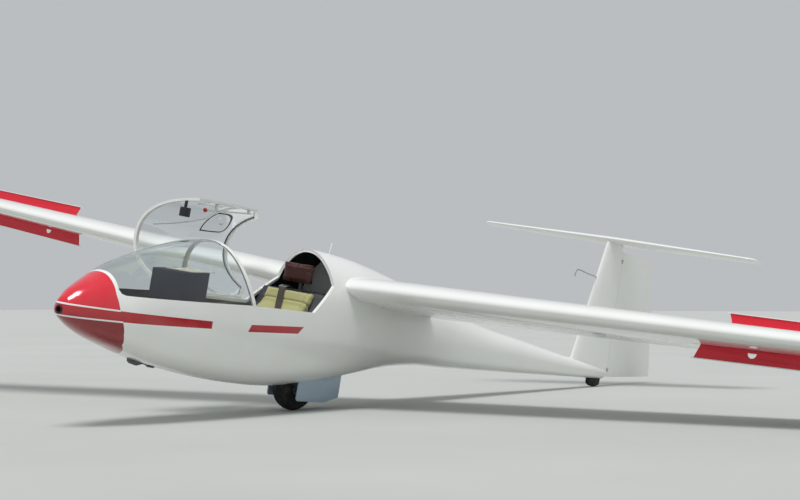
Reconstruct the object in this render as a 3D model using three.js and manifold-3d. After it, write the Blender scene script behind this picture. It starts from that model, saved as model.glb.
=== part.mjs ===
// Single-seat T-tail sailplane, parked with its port wing tip and its tail on the ground.
// Millimetres. Each piece is shaped in the aircraft's own frame: x aft from the nose,
// y to starboard, z up. One group at the end turns the whole aircraft to the way it parks.
import * as THREE from 'three';
import { mergeVertices } from 'three/addons/utils/BufferGeometryUtils.js';
import Module from 'manifold-3d';

const wasm = await Module();
wasm.setup();

const DEG = Math.PI / 180;
const SEAT_GAP = 0.3;
const RUN_GAP = 6;

// Attitude on the ground
const PARK_ROLL = 8.37 * DEG;
const PARK_PITCH = 4.3 * DEG;
const HEADING = 180 * DEG;

// Fuselage: side outline, half width, height of the widest point and roundness of each section
const BODY_ROWS = [
  { x: 30, bottom: -28, top: 20, half: 24, widest: -5, power: 2.0 },
  { x: 36, bottom: -38, top: 40, half: 38, widest: -5, power: 2.0 },
  { x: 48, bottom: -48, top: 66, half: 60, widest: -4, power: 2.0 },
  { x: 70, bottom: -62, top: 88, half: 77, widest: -4, power: 2.0 },
  { x: 105, bottom: -82, top: 121, half: 102, widest: -3, power: 2.05 },
  { x: 160, bottom: -109, top: 157, half: 131, widest: -2, power: 2.1 },
  { x: 230, bottom: -137, top: 198, half: 164, widest: -1, power: 2.15 },
  { x: 320, bottom: -165, top: 249, half: 200, widest: 0, power: 2.2 },
  { x: 420, bottom: -191, top: 299, half: 236, widest: 0, power: 2.25 },
  { x: 650, bottom: -252, top: 386, half: 268, widest: 0, power: 2.3 },
  { x: 950, bottom: -302, top: 473, half: 293, widest: 0, power: 2.35 },
  { x: 1250, bottom: -336, top: 511, half: 304, widest: 0, power: 2.35 },
  { x: 1500, bottom: -352, top: 530, half: 306, widest: 0, power: 2.3 },
  { x: 1800, bottom: -357, top: 541, half: 306, widest: 0, power: 2.15 },
  { x: 2100, bottom: -335, top: 540, half: 301, widest: 5, power: 2.05 },
  { x: 2300, bottom: -308, top: 531, half: 296, widest: 10, power: 2.05 },
  { x: 2600, bottom: -255, top: 500, half: 283, widest: 25, power: 2.05 },
  { x: 3000, bottom: -188, top: 432, half: 252, widest: 45, power: 2.0 },
  { x: 3400, bottom: -154, top: 350, half: 215, widest: 50, power: 2.0 },
  { x: 3800, bottom: -155, top: 264, half: 180, widest: 35, power: 2.0 },
  { x: 4200, bottom: -153, top: 182, half: 150, widest: 12, power: 2.0 },
  { x: 4850, bottom: -150, top: 105, half: 117, widest: -24, power: 2.0 },
  { x: 5650, bottom: -144, top: 10, half: 78, widest: -66, power: 2.0 },
  { x: 6240, bottom: -140, top: -30, half: 52, widest: -85, power: 2.0 },
];
const BODY_SIDES = 36;
const SHELL_WALL = 12;
const NOSE_TIP = 30;
const NOSE_WALL_START = 72;
const HOLLOW_END = 2400;
const BOOM_JOINT = 3330;

// Rear edge of the nose cap, seen from the side, from top to bottom
const CAP_EDGE = [
  [296, 400], [283, 200], [284, 120], [305, 36], [330, -26], [366, -100], [414, -160], [492, -207],
  [700, -290],
];
const VENT = { z: -4, radius: 17, depth: 70, lip: 27, lipDepth: 6 };

// Cockpit opening, seen from the side
const SILL_Z = 152;
const GLAZING_FRONT = [[318, 700], [303, 200], [301, 150], [313, 129], [338, 121], [1290, SILL_Z]];
const SILL_END_X = 1892;
const RIM_KINK = [2118, 330];
const RIM_TOP = [2084, 700];
const CANOPY_TAIL = [2103, 318];
const ARCH_FOOT_X = 1310;
const ARCH_LEAN = 0.444;
const ARCH_WIDTH = 30;
const ARCH_DEPTH = 14;
const GLASS_WALL = 5;
const GLASS_INSET = 1;
const CANOPY_RAIL = 24;
const CANOPY_RAIL_DEPTH = 16;

// Canopy hinge along the starboard sill
const CANOPY_HINGE_Y = 302;
const CANOPY_HINGE_Z = 143;
const CANOPY_OPEN = 88 * DEG;
const KNUCKLE_RADIUS = 9;
const KNUCKLE_CLEAR = 15;
const CANOPY_KNUCKLES = [1450, 1800];

// Wing
const WING = {
  span: 7500,
  rootChord: 1080,
  tipChord: 520,
  rootThick: 0.163,
  tipThick: 0.125,
  camber: 0.03,
  camberAt: 0.45,
  noseX: 2246,
  noseZ: 328,
  sweep: -0.006,
  dihedral: 0.046,
  incidence: 0.126,
  twistFrom: 4200,
  tipTwist: 0.063,
  firstRing: 120,
};
const FOIL_STEPS = 13;
const AILERON = { inner: 4450, outer: 7250, hinge: 0.79, endGap: 10, lugs: [4700, 5850, 7000] };
const TIP_RINGS = [
  { y: 7425, shrink: 0, thin: 1 },
  { y: 7475, shrink: 18, thin: 0.8 },
  { y: 7500, shrink: 60, thin: 0.35 },
];

// Airbrakes: upper blade aft of and outboard of the lower one
const BRAKES = {
  upper: { x: 2645, inner: 2714, outer: 3966, side: 1, notch: false },
  lower: { x: 2588, inner: 2564, outer: 3816, side: -1, notch: true },
};
const BRAKE = {
  blade: 8,
  travel: 86,
  cap: 4,
  capHalf: 12,
  capOver: 14,
  capRoom: 2,
  slotHalf: 9,
  innerSink: 6,
  outerLift: 3,
  endSlant: 36,
  bladeRoom: 5,
};
const BRAKE_LEG = { places: [0.12, 0.5], length: 30, sink: 12, room: 3 };
const BRAKE_NOTCH = { fromInner: 357, height: 20, radius: 29 };

// Tail
const RUDDER = { lowX: 6236, lowZ: -117, highX: 6205, highZ: 925, lowNose: 42, highNose: 33 };
const RUDDER_TRAIL = { lowX: 7050, lowZ: -88, highX: 6795, highZ: 905, thick: 5 };
const FIN = { lowX: 5640, lowZ: -60, highX: 5966, highZ: 1010, lowHalf: 52, highHalf: 40 };
const TAILPLANE = {
  half: 1268,
  z: 1000,
  hingeX: 6205,
  incidence: 0.08,
  rootNose: 5952,
  rootTail: 6425,
  tipNose: 6012,
  tipTail: 6272,
  tipRound: 45,
  thick: 0.118,
  notchHalf: 55,
  lugs: [-960, -420, 420, 960],
};

// Running gear
const WHEEL = { x: 2175, z: -332, half: 67, rim: 76, coreRadius: 125, coreHalf: 50, axle: 10 };
const BAY = { x0: 1970, x1: 2520, half: 112, top: -95, wall: 10 };
const FORK = { armY: 78, armThick: 8, pivotX: 2440, pivotZ: -135, pivotRadius: 16 };
const DOOR = { x0: 2065, x1: 2500, y: 116, thick: 8, bottom: -432, aftBottom: -395 };
const TAIL_SKID = { x: 6080, length: 190, half: 18 };
const TIP_SKID = { x: 2400, y: 7400, length: 190, half: 16 };

// Shape helpers

function box(x0, x1, y0, y1, z0, z1) {
  const shape = new THREE.BoxGeometry(x1 - x0, y1 - y0, z1 - z0);
  shape.translate((x0 + x1) / 2, (y0 + y1) / 2, (z0 + z1) / 2);
  return shape;
}

function solid(geometry) {
  const bare = geometry.clone();
  bare.deleteAttribute('normal');
  bare.deleteAttribute('uv');
  const merged = mergeVertices(bare, 1e-3);
  return new wasm.Manifold(new wasm.Mesh({
    numProp: 3,
    vertProperties: new Float32Array(merged.attributes.position.array),
    triVerts: new Uint32Array(merged.index.array),
  }));
}

function geometryOf(body) {
  const mesh = body.getMesh();
  const geometry = new THREE.BufferGeometry();
  geometry.setAttribute('position', new THREE.BufferAttribute(new Float32Array(mesh.vertProperties), 3));
  geometry.setIndex(new THREE.BufferAttribute(new Uint32Array(mesh.triVerts), 1));
  geometry.computeVertexNormals();
  return geometry;
}

function flipped(geometry) {
  const index = geometry.index.array;
  for (let i = 0; i < index.length; i += 3) {
    [index[i], index[i + 1]] = [index[i + 1], index[i]];
  }
  return geometry;
}

function signedVolume(geometry) {
  const position = geometry.attributes.position;
  const index = geometry.index.array;
  const [a, b, c] = [new THREE.Vector3(), new THREE.Vector3(), new THREE.Vector3()];
  let total = 0;
  for (let i = 0; i < index.length; i += 3) {
    a.fromBufferAttribute(position, index[i]);
    b.fromBufferAttribute(position, index[i + 1]);
    c.fromBufferAttribute(position, index[i + 2]);
    total += a.dot(b.cross(c)) / 6;
  }
  return total;
}

// A closed skin through rings of [x, y, z] points, each with the same count, its ends closed by fans
function loft(rings) {
  const count = rings[0].length;
  const points = rings.flat();
  const index = [];
  for (let r = 0; r + 1 < rings.length; r += 1) {
    for (let k = 0; k < count; k += 1) {
      const a = r * count + k;
      const b = r * count + (k + 1) % count;
      index.push(a, b, b + count, a, b + count, a + count);
    }
  }
  const middle = (ring) => [0, 1, 2].map((axis) => ring.reduce((sum, p) => sum + p[axis], 0) / count);
  const first = points.push(middle(rings[0])) - 1;
  const last = points.push(middle(rings[rings.length - 1])) - 1;
  const start = (rings.length - 1) * count;
  for (let k = 0; k < count; k += 1) {
    index.push(first, (k + 1) % count, k);
    index.push(last, start + k, start + (k + 1) % count);
  }
  const geometry = new THREE.BufferGeometry();
  geometry.setAttribute('position', new THREE.Float32BufferAttribute(points.flat(), 3));
  geometry.setIndex(index);
  geometry.computeVertexNormals();
  return signedVolume(geometry) < 0 ? flipped(geometry) : geometry;
}

function mirrored(geometry) {
  const copy = geometry.clone();
  copy.scale(1, -1, 1);
  return flipped(copy);
}

function outline(points) {
  return new THREE.Shape(points.map(([a, b]) => new THREE.Vector2(a, b)));
}

// A side view outline of [x, z] points, carried across from y0 to y1
function sidePrism(points, y0, y1) {
  const shape = new THREE.ExtrudeGeometry(outline(points), { depth: y1 - y0, bevelEnabled: false });
  shape.rotateX(Math.PI / 2);
  shape.translate(0, y1, 0);
  return shape;
}

// A front view outline of [y, z] points, carried back from x0 to x1
function frontPrism(points, x0, x1) {
  const shape = new THREE.ExtrudeGeometry(outline(points), { depth: x1 - x0, bevelEnabled: false });
  const [x, y, z] = [new THREE.Vector3(1, 0, 0), new THREE.Vector3(0, 1, 0), new THREE.Vector3(0, 0, 1)];
  shape.applyMatrix4(new THREE.Matrix4().makeBasis(y, z, x));
  shape.translate(x0, 0, 0);
  return shape;
}

function planPrism(points, z0, z1) {
  const shape = new THREE.ExtrudeGeometry(outline(points), { depth: z1 - z0, bevelEnabled: false });
  shape.translate(0, 0, z0);
  return shape;
}

function rod(from, to, radius, sides = 12) {
  const a = new THREE.Vector3(...from);
  const b = new THREE.Vector3(...to);
  const shape = new THREE.CylinderGeometry(radius, radius, a.distanceTo(b), sides);
  const along = b.clone().sub(a).normalize();
  const turn = new THREE.Quaternion().setFromUnitVectors(new THREE.Vector3(0, 1, 0), along);
  shape.applyQuaternion(turn);
  const centre = a.add(b).multiplyScalar(0.5);
  shape.translate(centre.x, centre.y, centre.z);
  return shape;
}

function tube(points, radius, sides, steps) {
  const path = new THREE.CatmullRomCurve3(points.map((p) => new THREE.Vector3(...p)));
  const section = new THREE.Shape();
  section.absarc(0, 0, radius, 0, 2 * Math.PI, false);
  return new THREE.ExtrudeGeometry(section, {
    extrudePath: path, steps, bevelEnabled: false, curveSegments: sides,
  });
}

// The outline of [a, b] points, counter-clockwise, with each edge moved inwards
function inset(points, distance) {
  const count = points.length;
  const edges = points.map((p, i) => {
    const q = points[(i + 1) % count];
    const length = Math.hypot(q[0] - p[0], q[1] - p[1]);
    const along = [(q[0] - p[0]) / length, (q[1] - p[1]) / length];
    return { start: [p[0] - along[1] * distance, p[1] + along[0] * distance], along };
  });
  return edges.map((edge, i) => {
    const before = edges[(i + count - 1) % count];
    const cross = before.along[0] * edge.along[1] - before.along[1] * edge.along[0];
    const dx = edge.start[0] - before.start[0];
    const dz = edge.start[1] - before.start[1];
    const t = (dx * edge.along[1] - dz * edge.along[0]) / cross;
    return [before.start[0] + before.along[0] * t, before.start[1] + before.along[1] * t];
  });
}

function piece(name, shape, colour, roughness, metalness = 0, opacity = 1) {
  const geometry = shape.isBufferGeometry ? shape : geometryOf(shape);
  const material = new THREE.MeshStandardMaterial({
    color: colour, roughness, metalness, opacity, transparent: opacity < 1,
  });
  const mesh = new THREE.Mesh(geometry, material);
  mesh.name = name;
  return mesh;
}

const whiteGel = (name, shape) => piece(name, shape, 0xf1f2f0, 0.18);
const redGel = (name, shape) => piece(name, shape, 0xd8122c, 0.2);
const clearGlazing = (name, shape) => piece(name, shape, 0xdfe8ea, 0.03, 0, 0.3);
const steel = (name, shape) => piece(name, shape, 0x8c9094, 0.4, 0.9);

// Fuselage sections

function bodyAt(x) {
  const rows = BODY_ROWS;
  let i = 0;
  while (i < rows.length - 2 && x > rows[i + 1].x) {
    i += 1;
  }
  const [p, q] = [rows[i], rows[i + 1]];
  const before = rows[Math.max(i - 1, 0)];
  const after = rows[Math.min(i + 2, rows.length - 1)];
  const width = q.x - p.x;
  const t = (x - p.x) / width;
  const blend = (key) => {
    const slopeP = (q[key] - before[key]) / (q.x - before.x) * width;
    const slopeQ = (after[key] - p[key]) / (after.x - p.x) * width;
    return (2 * t ** 3 - 3 * t ** 2 + 1) * p[key] + (t ** 3 - 2 * t ** 2 + t) * slopeP
      + (-2 * t ** 3 + 3 * t ** 2) * q[key] + (t ** 3 - t ** 2) * slopeQ;
  };
  return {
    bottom: blend('bottom'),
    top: blend('top'),
    half: blend('half'),
    widest: blend('widest'),
    power: blend('power'),
  };
}

function bodyRing(x, grow) {
  const section = bodyAt(x);
  const ring = [];
  for (let k = 0; k < BODY_SIDES; k += 1) {
    const angle = (k + 0.5) / BODY_SIDES * 2 * Math.PI;
    const across = Math.sign(Math.cos(angle)) * Math.abs(Math.cos(angle)) ** (2 / section.power);
    const rise = Math.sign(Math.sin(angle)) * Math.abs(Math.sin(angle)) ** (2 / section.power);
    const reach = rise > 0 ? section.top - section.widest : section.widest - section.bottom;
    ring.push([x, across * (section.half + grow), section.widest + rise * (reach + grow)]);
  }
  return ring;
}

function bodySolid(x0, x1, grow) {
  const stations = [x0];
  BODY_ROWS.forEach((row, i) => {
    const next = BODY_ROWS[Math.min(i + 1, BODY_ROWS.length - 1)];
    const parts = Math.max(1, Math.round((next.x - row.x) / (row.x < HOLLOW_END ? 165 : 300)));
    for (let k = 0; k < parts; k += 1) {
      const x = row.x + (next.x - row.x) * k / parts;
      if (x > x0 + 1 && x < x1 - 1) {
        stations.push(x);
      }
    }
  });
  stations.push(x1);
  return solid(loft(stations.map((x) => bodyRing(x, grow))));
}

const BODY_END = RUDDER.lowX - RUDDER.lowNose - RUN_GAP;
const outerBody = bodySolid(NOSE_TIP, BODY_END, 0);
const grownBody = bodySolid(NOSE_TIP, BODY_END, SEAT_GAP);
const bodyCutter = grownBody.add(solid(mirrored(geometryOf(grownBody))));
const hollow = bodySolid(NOSE_WALL_START, HOLLOW_END, -SHELL_WALL);
const fittingSpace = bodySolid(NOSE_WALL_START + 1, HOLLOW_END - SEAT_GAP, -SHELL_WALL - SEAT_GAP);

const archX = (z) => ARCH_FOOT_X - ARCH_LEAN * (z - SILL_Z);
const HIGH = 700;
const WIDE = 500;

function openingOutline() {
  return [...GLAZING_FRONT, [SILL_END_X, SILL_Z], RIM_KINK, RIM_TOP];
}

function canopyOutline() {
  const half = ARCH_WIDTH / 2;
  return [
    [archX(SILL_Z) + half, SILL_Z], [SILL_END_X, SILL_Z], CANOPY_TAIL, RIM_TOP, [archX(HIGH) + half, HIGH],
  ];
}

function capPrism(shift) {
  const edge = CAP_EDGE.map(([x, z]) => [x + shift, z]);
  return solid(sidePrism([...edge, [-100, -290], [-100, 400]].reverse(), -WIDE, WIDE));
}

function bayBox(grow) {
  return solid(box(
    BAY.x0 - grow, BAY.x1 + grow, -BAY.half - grow, BAY.half + grow, -600, BAY.top + grow,
  ));
}

function hingeRod(from, to, radius) {
  return solid(rod([from, CANOPY_HINGE_Y, CANOPY_HINGE_Z], [to, CANOPY_HINGE_Y, CANOPY_HINGE_Z], radius));
}

// Half of a canopy hinge: the shell's behind a pin plane at x, the frame's ahead of it, on a web
function canopyKnuckle(x, side) {
  const [from, to] = side < 0 ? [x - 22, x - SEAT_GAP] : [x + SEAT_GAP, x + 22];
  const eye = hingeRod(from, to, KNUCKLE_RADIUS);
  const web = side < 0
    ? box(from, to, CANOPY_HINGE_Y - 12, CANOPY_HINGE_Y - 4, CANOPY_HINGE_Z - 20, CANOPY_HINGE_Z)
    : box(from, to, CANOPY_HINGE_Y - 9, CANOPY_HINGE_Y, CANOPY_HINGE_Z, SILL_Z + RUN_GAP + 5);
  return eye.add(solid(web));
}

function knuckleRoom(x, side) {
  const [from, to] = side < 0 ? [x - 22 - RUN_GAP, x + SEAT_GAP] : [x - SEAT_GAP, x + 22 + RUN_GAP];
  const eye = hingeRod(from, to, KNUCKLE_CLEAR);
  const sweep = box(from, to, CANOPY_HINGE_Y - 20, CANOPY_HINGE_Y + 40, CANOPY_HINGE_Z - 12, SILL_Z + 1);
  return side < 0 ? eye : eye.add(solid(sweep));
}

function noseCap() {
  const vent = solid(rod([NOSE_TIP - 20, 0, VENT.z], [NOSE_TIP + VENT.depth, 0, VENT.z], VENT.radius, 20));
  return redGel('nose_cap', outerBody.intersect(capPrism(0)).subtract(hollow).subtract(vent));
}

function fuselageShell() {
  let shell = outerBody.subtract(capPrism(SEAT_GAP)).subtract(hollow);
  shell = shell.intersect(solid(box(NOSE_TIP, BOOM_JOINT, -WIDE, WIDE, -HIGH, HIGH)));
  shell = shell.subtract(solid(sidePrism(openingOutline(), -WIDE, WIDE)));
  const inside = bodySolid(NOSE_WALL_START, BOOM_JOINT, -SHELL_WALL);
  const linerRoom = bayBox(BAY.wall + SEAT_GAP).intersect(inside);
  shell = shell.subtract(bayBox(0)).subtract(linerRoom);
  CANOPY_KNUCKLES.forEach((x) => {
    shell = shell.subtract(knuckleRoom(x, 1)).add(canopyKnuckle(x, -1));
  });
  return whiteGel('fuselage_shell', shell);
}

function tailBoom() {
  const boom = outerBody.intersect(solid(box(BOOM_JOINT + SEAT_GAP, 7000, -WIDE, WIDE, -HIGH, HIGH)));
  return whiteGel('tail_boom', boom.add(solid(rudderLugs().low)));
}

function bayLiner() {
  const liner = bayBox(BAY.wall).subtract(bayBox(0));
  const inside = bodySolid(NOSE_WALL_START, BOOM_JOINT, -SHELL_WALL - SEAT_GAP);
  return piece('wheel_bay_liner', liner.intersect(inside), 0x9aa3a8, 0.6);
}

function windshieldArch() {
  const half = ARCH_WIDTH / 2;
  const slab = sidePrism([
    [archX(SILL_Z) - half, SILL_Z + SEAT_GAP], [archX(SILL_Z) + half, SILL_Z + SEAT_GAP],
    [archX(HIGH) + half, HIGH], [archX(HIGH) - half, HIGH],
  ], -WIDE, WIDE);
  const ring = outerBody.subtract(bodySolid(NOSE_WALL_START, HOLLOW_END, -ARCH_DEPTH));
  return whiteGel('windshield_arch', ring.intersect(solid(slab)));
}

function glassSkin() {
  return bodySolid(NOSE_WALL_START, HOLLOW_END, -GLASS_INSET)
    .subtract(bodySolid(NOSE_WALL_START + 1, HOLLOW_END - 1, -GLASS_INSET - GLASS_WALL));
}

function windshieldGlass() {
  const edge = archX(SILL_Z) - ARCH_WIDTH / 2;
  const front = GLAZING_FRONT.slice(0, -1);
  const region = inset([...front, [edge, SILL_Z], [archX(HIGH) - ARCH_WIDTH / 2, HIGH]], SEAT_GAP);
  return clearGlazing('windshield_glass', glassSkin().intersect(solid(sidePrism(region, -WIDE, WIDE))));
}

function canopyFrame() {
  const outer = solid(sidePrism(inset(canopyOutline(), RUN_GAP), -WIDE, WIDE));
  const inner = solid(sidePrism(inset(canopyOutline(), RUN_GAP + CANOPY_RAIL), -WIDE, WIDE));
  const rails = bodySolid(NOSE_WALL_START, HOLLOW_END, 0)
    .subtract(bodySolid(NOSE_WALL_START + 1, HOLLOW_END - 1, -CANOPY_RAIL_DEPTH));
  let frame = rails.intersect(outer.subtract(inner));
  CANOPY_KNUCKLES.forEach((x) => {
    frame = frame.subtract(knuckleRoom(x, -1)).add(canopyKnuckle(x, 1));
  });
  return whiteGel('canopy_frame', frame);
}

function canopyGlass() {
  const region = inset(canopyOutline(), RUN_GAP + CANOPY_RAIL + SEAT_GAP);
  return clearGlazing('canopy_glass', glassSkin().intersect(solid(sidePrism(region, -WIDE, WIDE))));
}

// Handle, lock rod and knob inside the port rail of the canopy, shaped with the canopy closed
const LOCK = { x0: 1410, y0: -229, x1: 1850, y1: -256, z: 170, rod: 5, knob: 14, brackets: [1500, 1810] };

function lockPoint(x) {
  return [x, LOCK.y0 + (LOCK.y1 - LOCK.y0) * (x - LOCK.x0) / (LOCK.x1 - LOCK.x0), LOCK.z];
}

function canopyFittings() {
  const cut = bodySolid(NOSE_WALL_START, HOLLOW_END, -CANOPY_RAIL_DEPTH - SEAT_GAP);
  const arm = solid(box(1290, 1305, -310, -218, 226, 242));
  const handle = arm.add(solid(box(1280, 1324, -224, -166, 208, 262)));
  let lockRod = solid(rod(lockPoint(LOCK.x0 + 6), lockPoint(LOCK.x1), LOCK.rod));
  LOCK.brackets.forEach((x) => {
    const y = lockPoint(x + 8)[1];
    lockRod = lockRod.add(solid(box(x, x + 16, -308, y, LOCK.z - 8, LOCK.z + 8)));
  });
  const ball = new THREE.SphereGeometry(LOCK.knob, 12, 8);
  ball.translate(...lockPoint(LOCK.x0));
  const bore = solid(rod(lockPoint(LOCK.x0 + 6 - SEAT_GAP), lockPoint(LOCK.x0 + 50), LOCK.rod + SEAT_GAP));
  return [
    piece('canopy_handle', handle.intersect(cut), 0x18181a, 0.5),
    steel('canopy_lock_rod', lockRod.intersect(cut)),
    piece('canopy_lock_knob', solid(ball).subtract(bore), 0xc8202a, 0.4),
  ];
}

function canopy() {
  const turned = new THREE.Group();
  turned.position.set(0, CANOPY_HINGE_Y, CANOPY_HINGE_Z);
  turned.rotation.x = -CANOPY_OPEN;
  const closed = new THREE.Group();
  closed.position.set(0, -CANOPY_HINGE_Y, -CANOPY_HINGE_Z);
  closed.add(canopyFrame(), canopyGlass(), ...canopyFittings());
  turned.add(closed);
  return turned;
}

// Wing section: [along, up] as parts of the chord, from the upper trailing edge round the nose
function foil(thick, camber, camberAt, from = 0, steps = FOIL_STEPS) {
  const surface = (side) => Array.from({ length: steps }, (_, i) => {
    const x = from + (1 - from) * (1 - Math.cos(Math.PI * i / (steps - 1))) / 2;
    const bulge = 0.2969 * Math.sqrt(x) - 0.126 * x - 0.3516 * x ** 2 + 0.2843 * x ** 3 - 0.1036 * x ** 4;
    const half = 5 * thick * bulge + 0.0018 * x;
    const mean = x < camberAt
      ? camber / camberAt ** 2 * (2 * camberAt * x - x * x)
      : camber / (1 - camberAt) ** 2 * (1 - 2 * camberAt + 2 * camberAt * x - x * x);
    return [x, mean + side * half];
  });
  return { upper: surface(1), lower: surface(-1) };
}

function wingAt(y) {
  const t = y / WING.span;
  return {
    chord: WING.rootChord + (WING.tipChord - WING.rootChord) * t,
    thick: WING.rootThick + (WING.tipThick - WING.rootThick) * t,
    x: WING.noseX + WING.sweep * y,
    z: WING.noseZ + Math.tan(WING.dihedral) * y,
  };
}

function incidenceAt(y) {
  const outboard = Math.max(0, y - WING.twistFrom) / (WING.span - WING.twistFrom);
  return WING.incidence - WING.tipTwist * outboard;
}

function wingPoint(y, along, up) {
  const { x, z } = wingAt(y);
  const [c, s] = [Math.cos(incidenceAt(y)), Math.sin(incidenceAt(y))];
  return [x + along * c + up * s, y, z - along * s + up * c];
}

function wingRing(y, shrink, thin) {
  const { chord, thick } = wingAt(y);
  const { upper, lower } = foil(thick * thin, WING.camber, WING.camberAt);
  const scale = (chord - 1.5 * shrink) / chord;
  return [...upper.slice().reverse(), ...lower.slice(1)].map(([a, b]) => (
    wingPoint(y, shrink + a * chord * scale, b * chord * scale)
  ));
}

function aileronHinge(y) {
  const { chord, thick } = wingAt(y);
  const { upper, lower } = foil(thick, WING.camber, WING.camberAt, AILERON.hinge, 2);
  const centre = (upper[0][1] + lower[0][1]) / 2 * chord;
  const radius = (upper[0][1] - lower[0][1]) / 2 * chord;
  const along = AILERON.hinge * chord;
  return { along, up: centre, radius, point: wingPoint(y, along, centre) };
}

function aileronRing(y) {
  const { chord, thick } = wingAt(y);
  const hinge = aileronHinge(y);
  const { upper, lower } = foil(thick, WING.camber, WING.camberAt, AILERON.hinge, 5);
  const nose = [210, 150].map((deg) => deg).concat([180]).sort((a, b) => b - a).map((deg) => [
    hinge.along + hinge.radius * Math.cos(deg * DEG), hinge.up + hinge.radius * Math.sin(deg * DEG),
  ]).reverse();
  const skin = (list) => list.map(([a, b]) => [a * chord, b * chord]);
  const ring = [...skin(upper), ...skin(lower).reverse(), ...nose.reverse()];
  return ring.map(([a, b]) => wingPoint(y, a, b));
}

// Hinge of a control surface: lugs that stay on the fixed part, and the room cut for them
function hingeFittings(from, to, places, forward, nose) {
  const a = new THREE.Vector3(...from);
  const b = new THREE.Vector3(...to);
  const axis = b.clone().sub(a).normalize();
  const ahead = forward.clone().addScaledVector(axis, -forward.dot(axis)).normalize();
  const side = new THREE.Vector3().crossVectors(axis, ahead);
  const frame = new THREE.Matrix4().makeBasis(axis, ahead, side);
  const bossRadius = 6;
  const bossHalf = 15;
  const lugs = [];
  const rooms = [];
  places.forEach((t) => {
    const centre = a.clone().lerp(b, t);
    const place = new THREE.Matrix4().makeTranslation(centre.x, centre.y, centre.z).multiply(frame);
    const boss = new THREE.CylinderGeometry(bossRadius, bossRadius, 2 * bossHalf, 12).rotateZ(Math.PI / 2);
    const plate = box(-8, 8, 0, nose + RUN_GAP + 12, -4, 4);
    lugs.push(solid(boss.applyMatrix4(place)).add(solid(plate.applyMatrix4(place))));
    const room = box(-bossHalf - 2 * SEAT_GAP, bossHalf + 2 * SEAT_GAP, -bossRadius - 5, 200, -90, 90);
    rooms.push(solid(room.applyMatrix4(place)));
  });
  const join = (list) => list.reduce((sum, next) => sum.add(next));
  return { lugs: join(lugs), rooms: join(rooms) };
}

function aileronFittings() {
  const from = aileronHinge(AILERON.inner).point;
  const to = aileronHinge(AILERON.outer).point;
  const places = AILERON.lugs.map((y) => (y - AILERON.inner) / (AILERON.outer - AILERON.inner));
  return hingeFittings(from, to, places, new THREE.Vector3(-1, 0, 0), aileronHinge(AILERON.inner).radius);
}

// Frame of one airbrake: origin on the skin, x along the chord, y along the blade, z out of the skin
function brakeFrame(brake) {
  const skin = (y) => {
    const { chord, thick, x } = wingAt(y);
    const along = (brake.x - x) / Math.cos(WING.incidence);
    const { upper, lower } = foil(thick, WING.camber, WING.camberAt, along / chord, 2);
    return new THREE.Vector3(...wingPoint(y, along, (brake.side > 0 ? upper : lower)[0][1] * chord));
  };
  const [a, b] = [skin(brake.inner), skin(brake.outer)];
  const span = b.clone().sub(a).normalize();
  const chordwise = new THREE.Vector3(Math.cos(WING.incidence), 0, -Math.sin(WING.incidence));
  const normal = new THREE.Vector3().crossVectors(chordwise, span).normalize().multiplyScalar(brake.side);
  const across = new THREE.Vector3().crossVectors(span, normal);
  const centre = a.add(b).multiplyScalar(0.5);
  const matrix = new THREE.Matrix4().makeBasis(across, span, normal);
  return { matrix: matrix.setPosition(centre), half: (brake.outer - brake.inner) / 2, normal };
}

// Start of each leg that carries the blade, along the blade
function brakeLegs(half) {
  return BRAKE_LEG.places.map((place) => -half + 2 * half * place);
}

function brakeSlot(brake) {
  const { matrix, half } = brakeFrame(brake);
  const end = half + RUN_GAP;
  const sunk = BRAKE.travel + BRAKE.bladeRoom;
  let slot = solid(frontPrism([
    [-end, -sunk - BRAKE.innerSink], [end, -sunk + BRAKE.outerLift], [end, 40], [-end, 40],
  ], -BRAKE.slotHalf, BRAKE.slotHalf));
  brakeLegs(half).forEach((start) => {
    const deep = BRAKE.travel + BRAKE_LEG.sink + BRAKE_LEG.room;
    slot = slot.add(solid(box(
      -BRAKE.slotHalf, BRAKE.slotHalf, start - RUN_GAP, start + BRAKE_LEG.length + RUN_GAP, -deep, 0,
    )));
  });
  const recessHalf = BRAKE.capHalf + BRAKE.bladeRoom;
  const recessEnd = half + BRAKE.capOver + RUN_GAP;
  const recess = solid(box(-recessHalf, recessHalf, -recessEnd, recessEnd, -BRAKE.cap - BRAKE.capRoom, 40));
  return solid(geometryOf(slot.add(recess)).applyMatrix4(matrix));
}

function brakeBlade(brake) {
  const { matrix, half } = brakeFrame(brake);
  const top = BRAKE.travel - BRAKE.cap - SEAT_GAP;
  let blade = solid(frontPrism([
    [-half + BRAKE.endSlant, -BRAKE.innerSink], [half, BRAKE.outerLift], [half, top], [-half, top],
  ], -BRAKE.blade / 2, BRAKE.blade / 2));
  const legHalf = BRAKE.slotHalf - SEAT_GAP;
  brakeLegs(half).forEach((start) => {
    blade = blade.add(solid(box(-legHalf, legHalf, start, start + BRAKE_LEG.length, -BRAKE_LEG.sink, 0)));
  });
  if (brake.notch) {
    const { fromInner, height, radius } = BRAKE_NOTCH;
    const centre = -half + fromInner;
    const round = rod([-20, centre, height], [20, centre, height], radius, 24);
    const above = box(-20, 20, centre - radius, centre + radius, height, top);
    blade = blade.subtract(solid(round).intersect(solid(above)));
  }
  return geometryOf(blade).applyMatrix4(matrix);
}

function brakeCap(brake) {
  const { matrix, half } = brakeFrame(brake);
  const end = half + BRAKE.capOver;
  const strip = box(-BRAKE.capHalf, BRAKE.capHalf, -end, end, BRAKE.travel - BRAKE.cap, BRAKE.travel);
  return strip.applyMatrix4(matrix);
}

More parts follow.
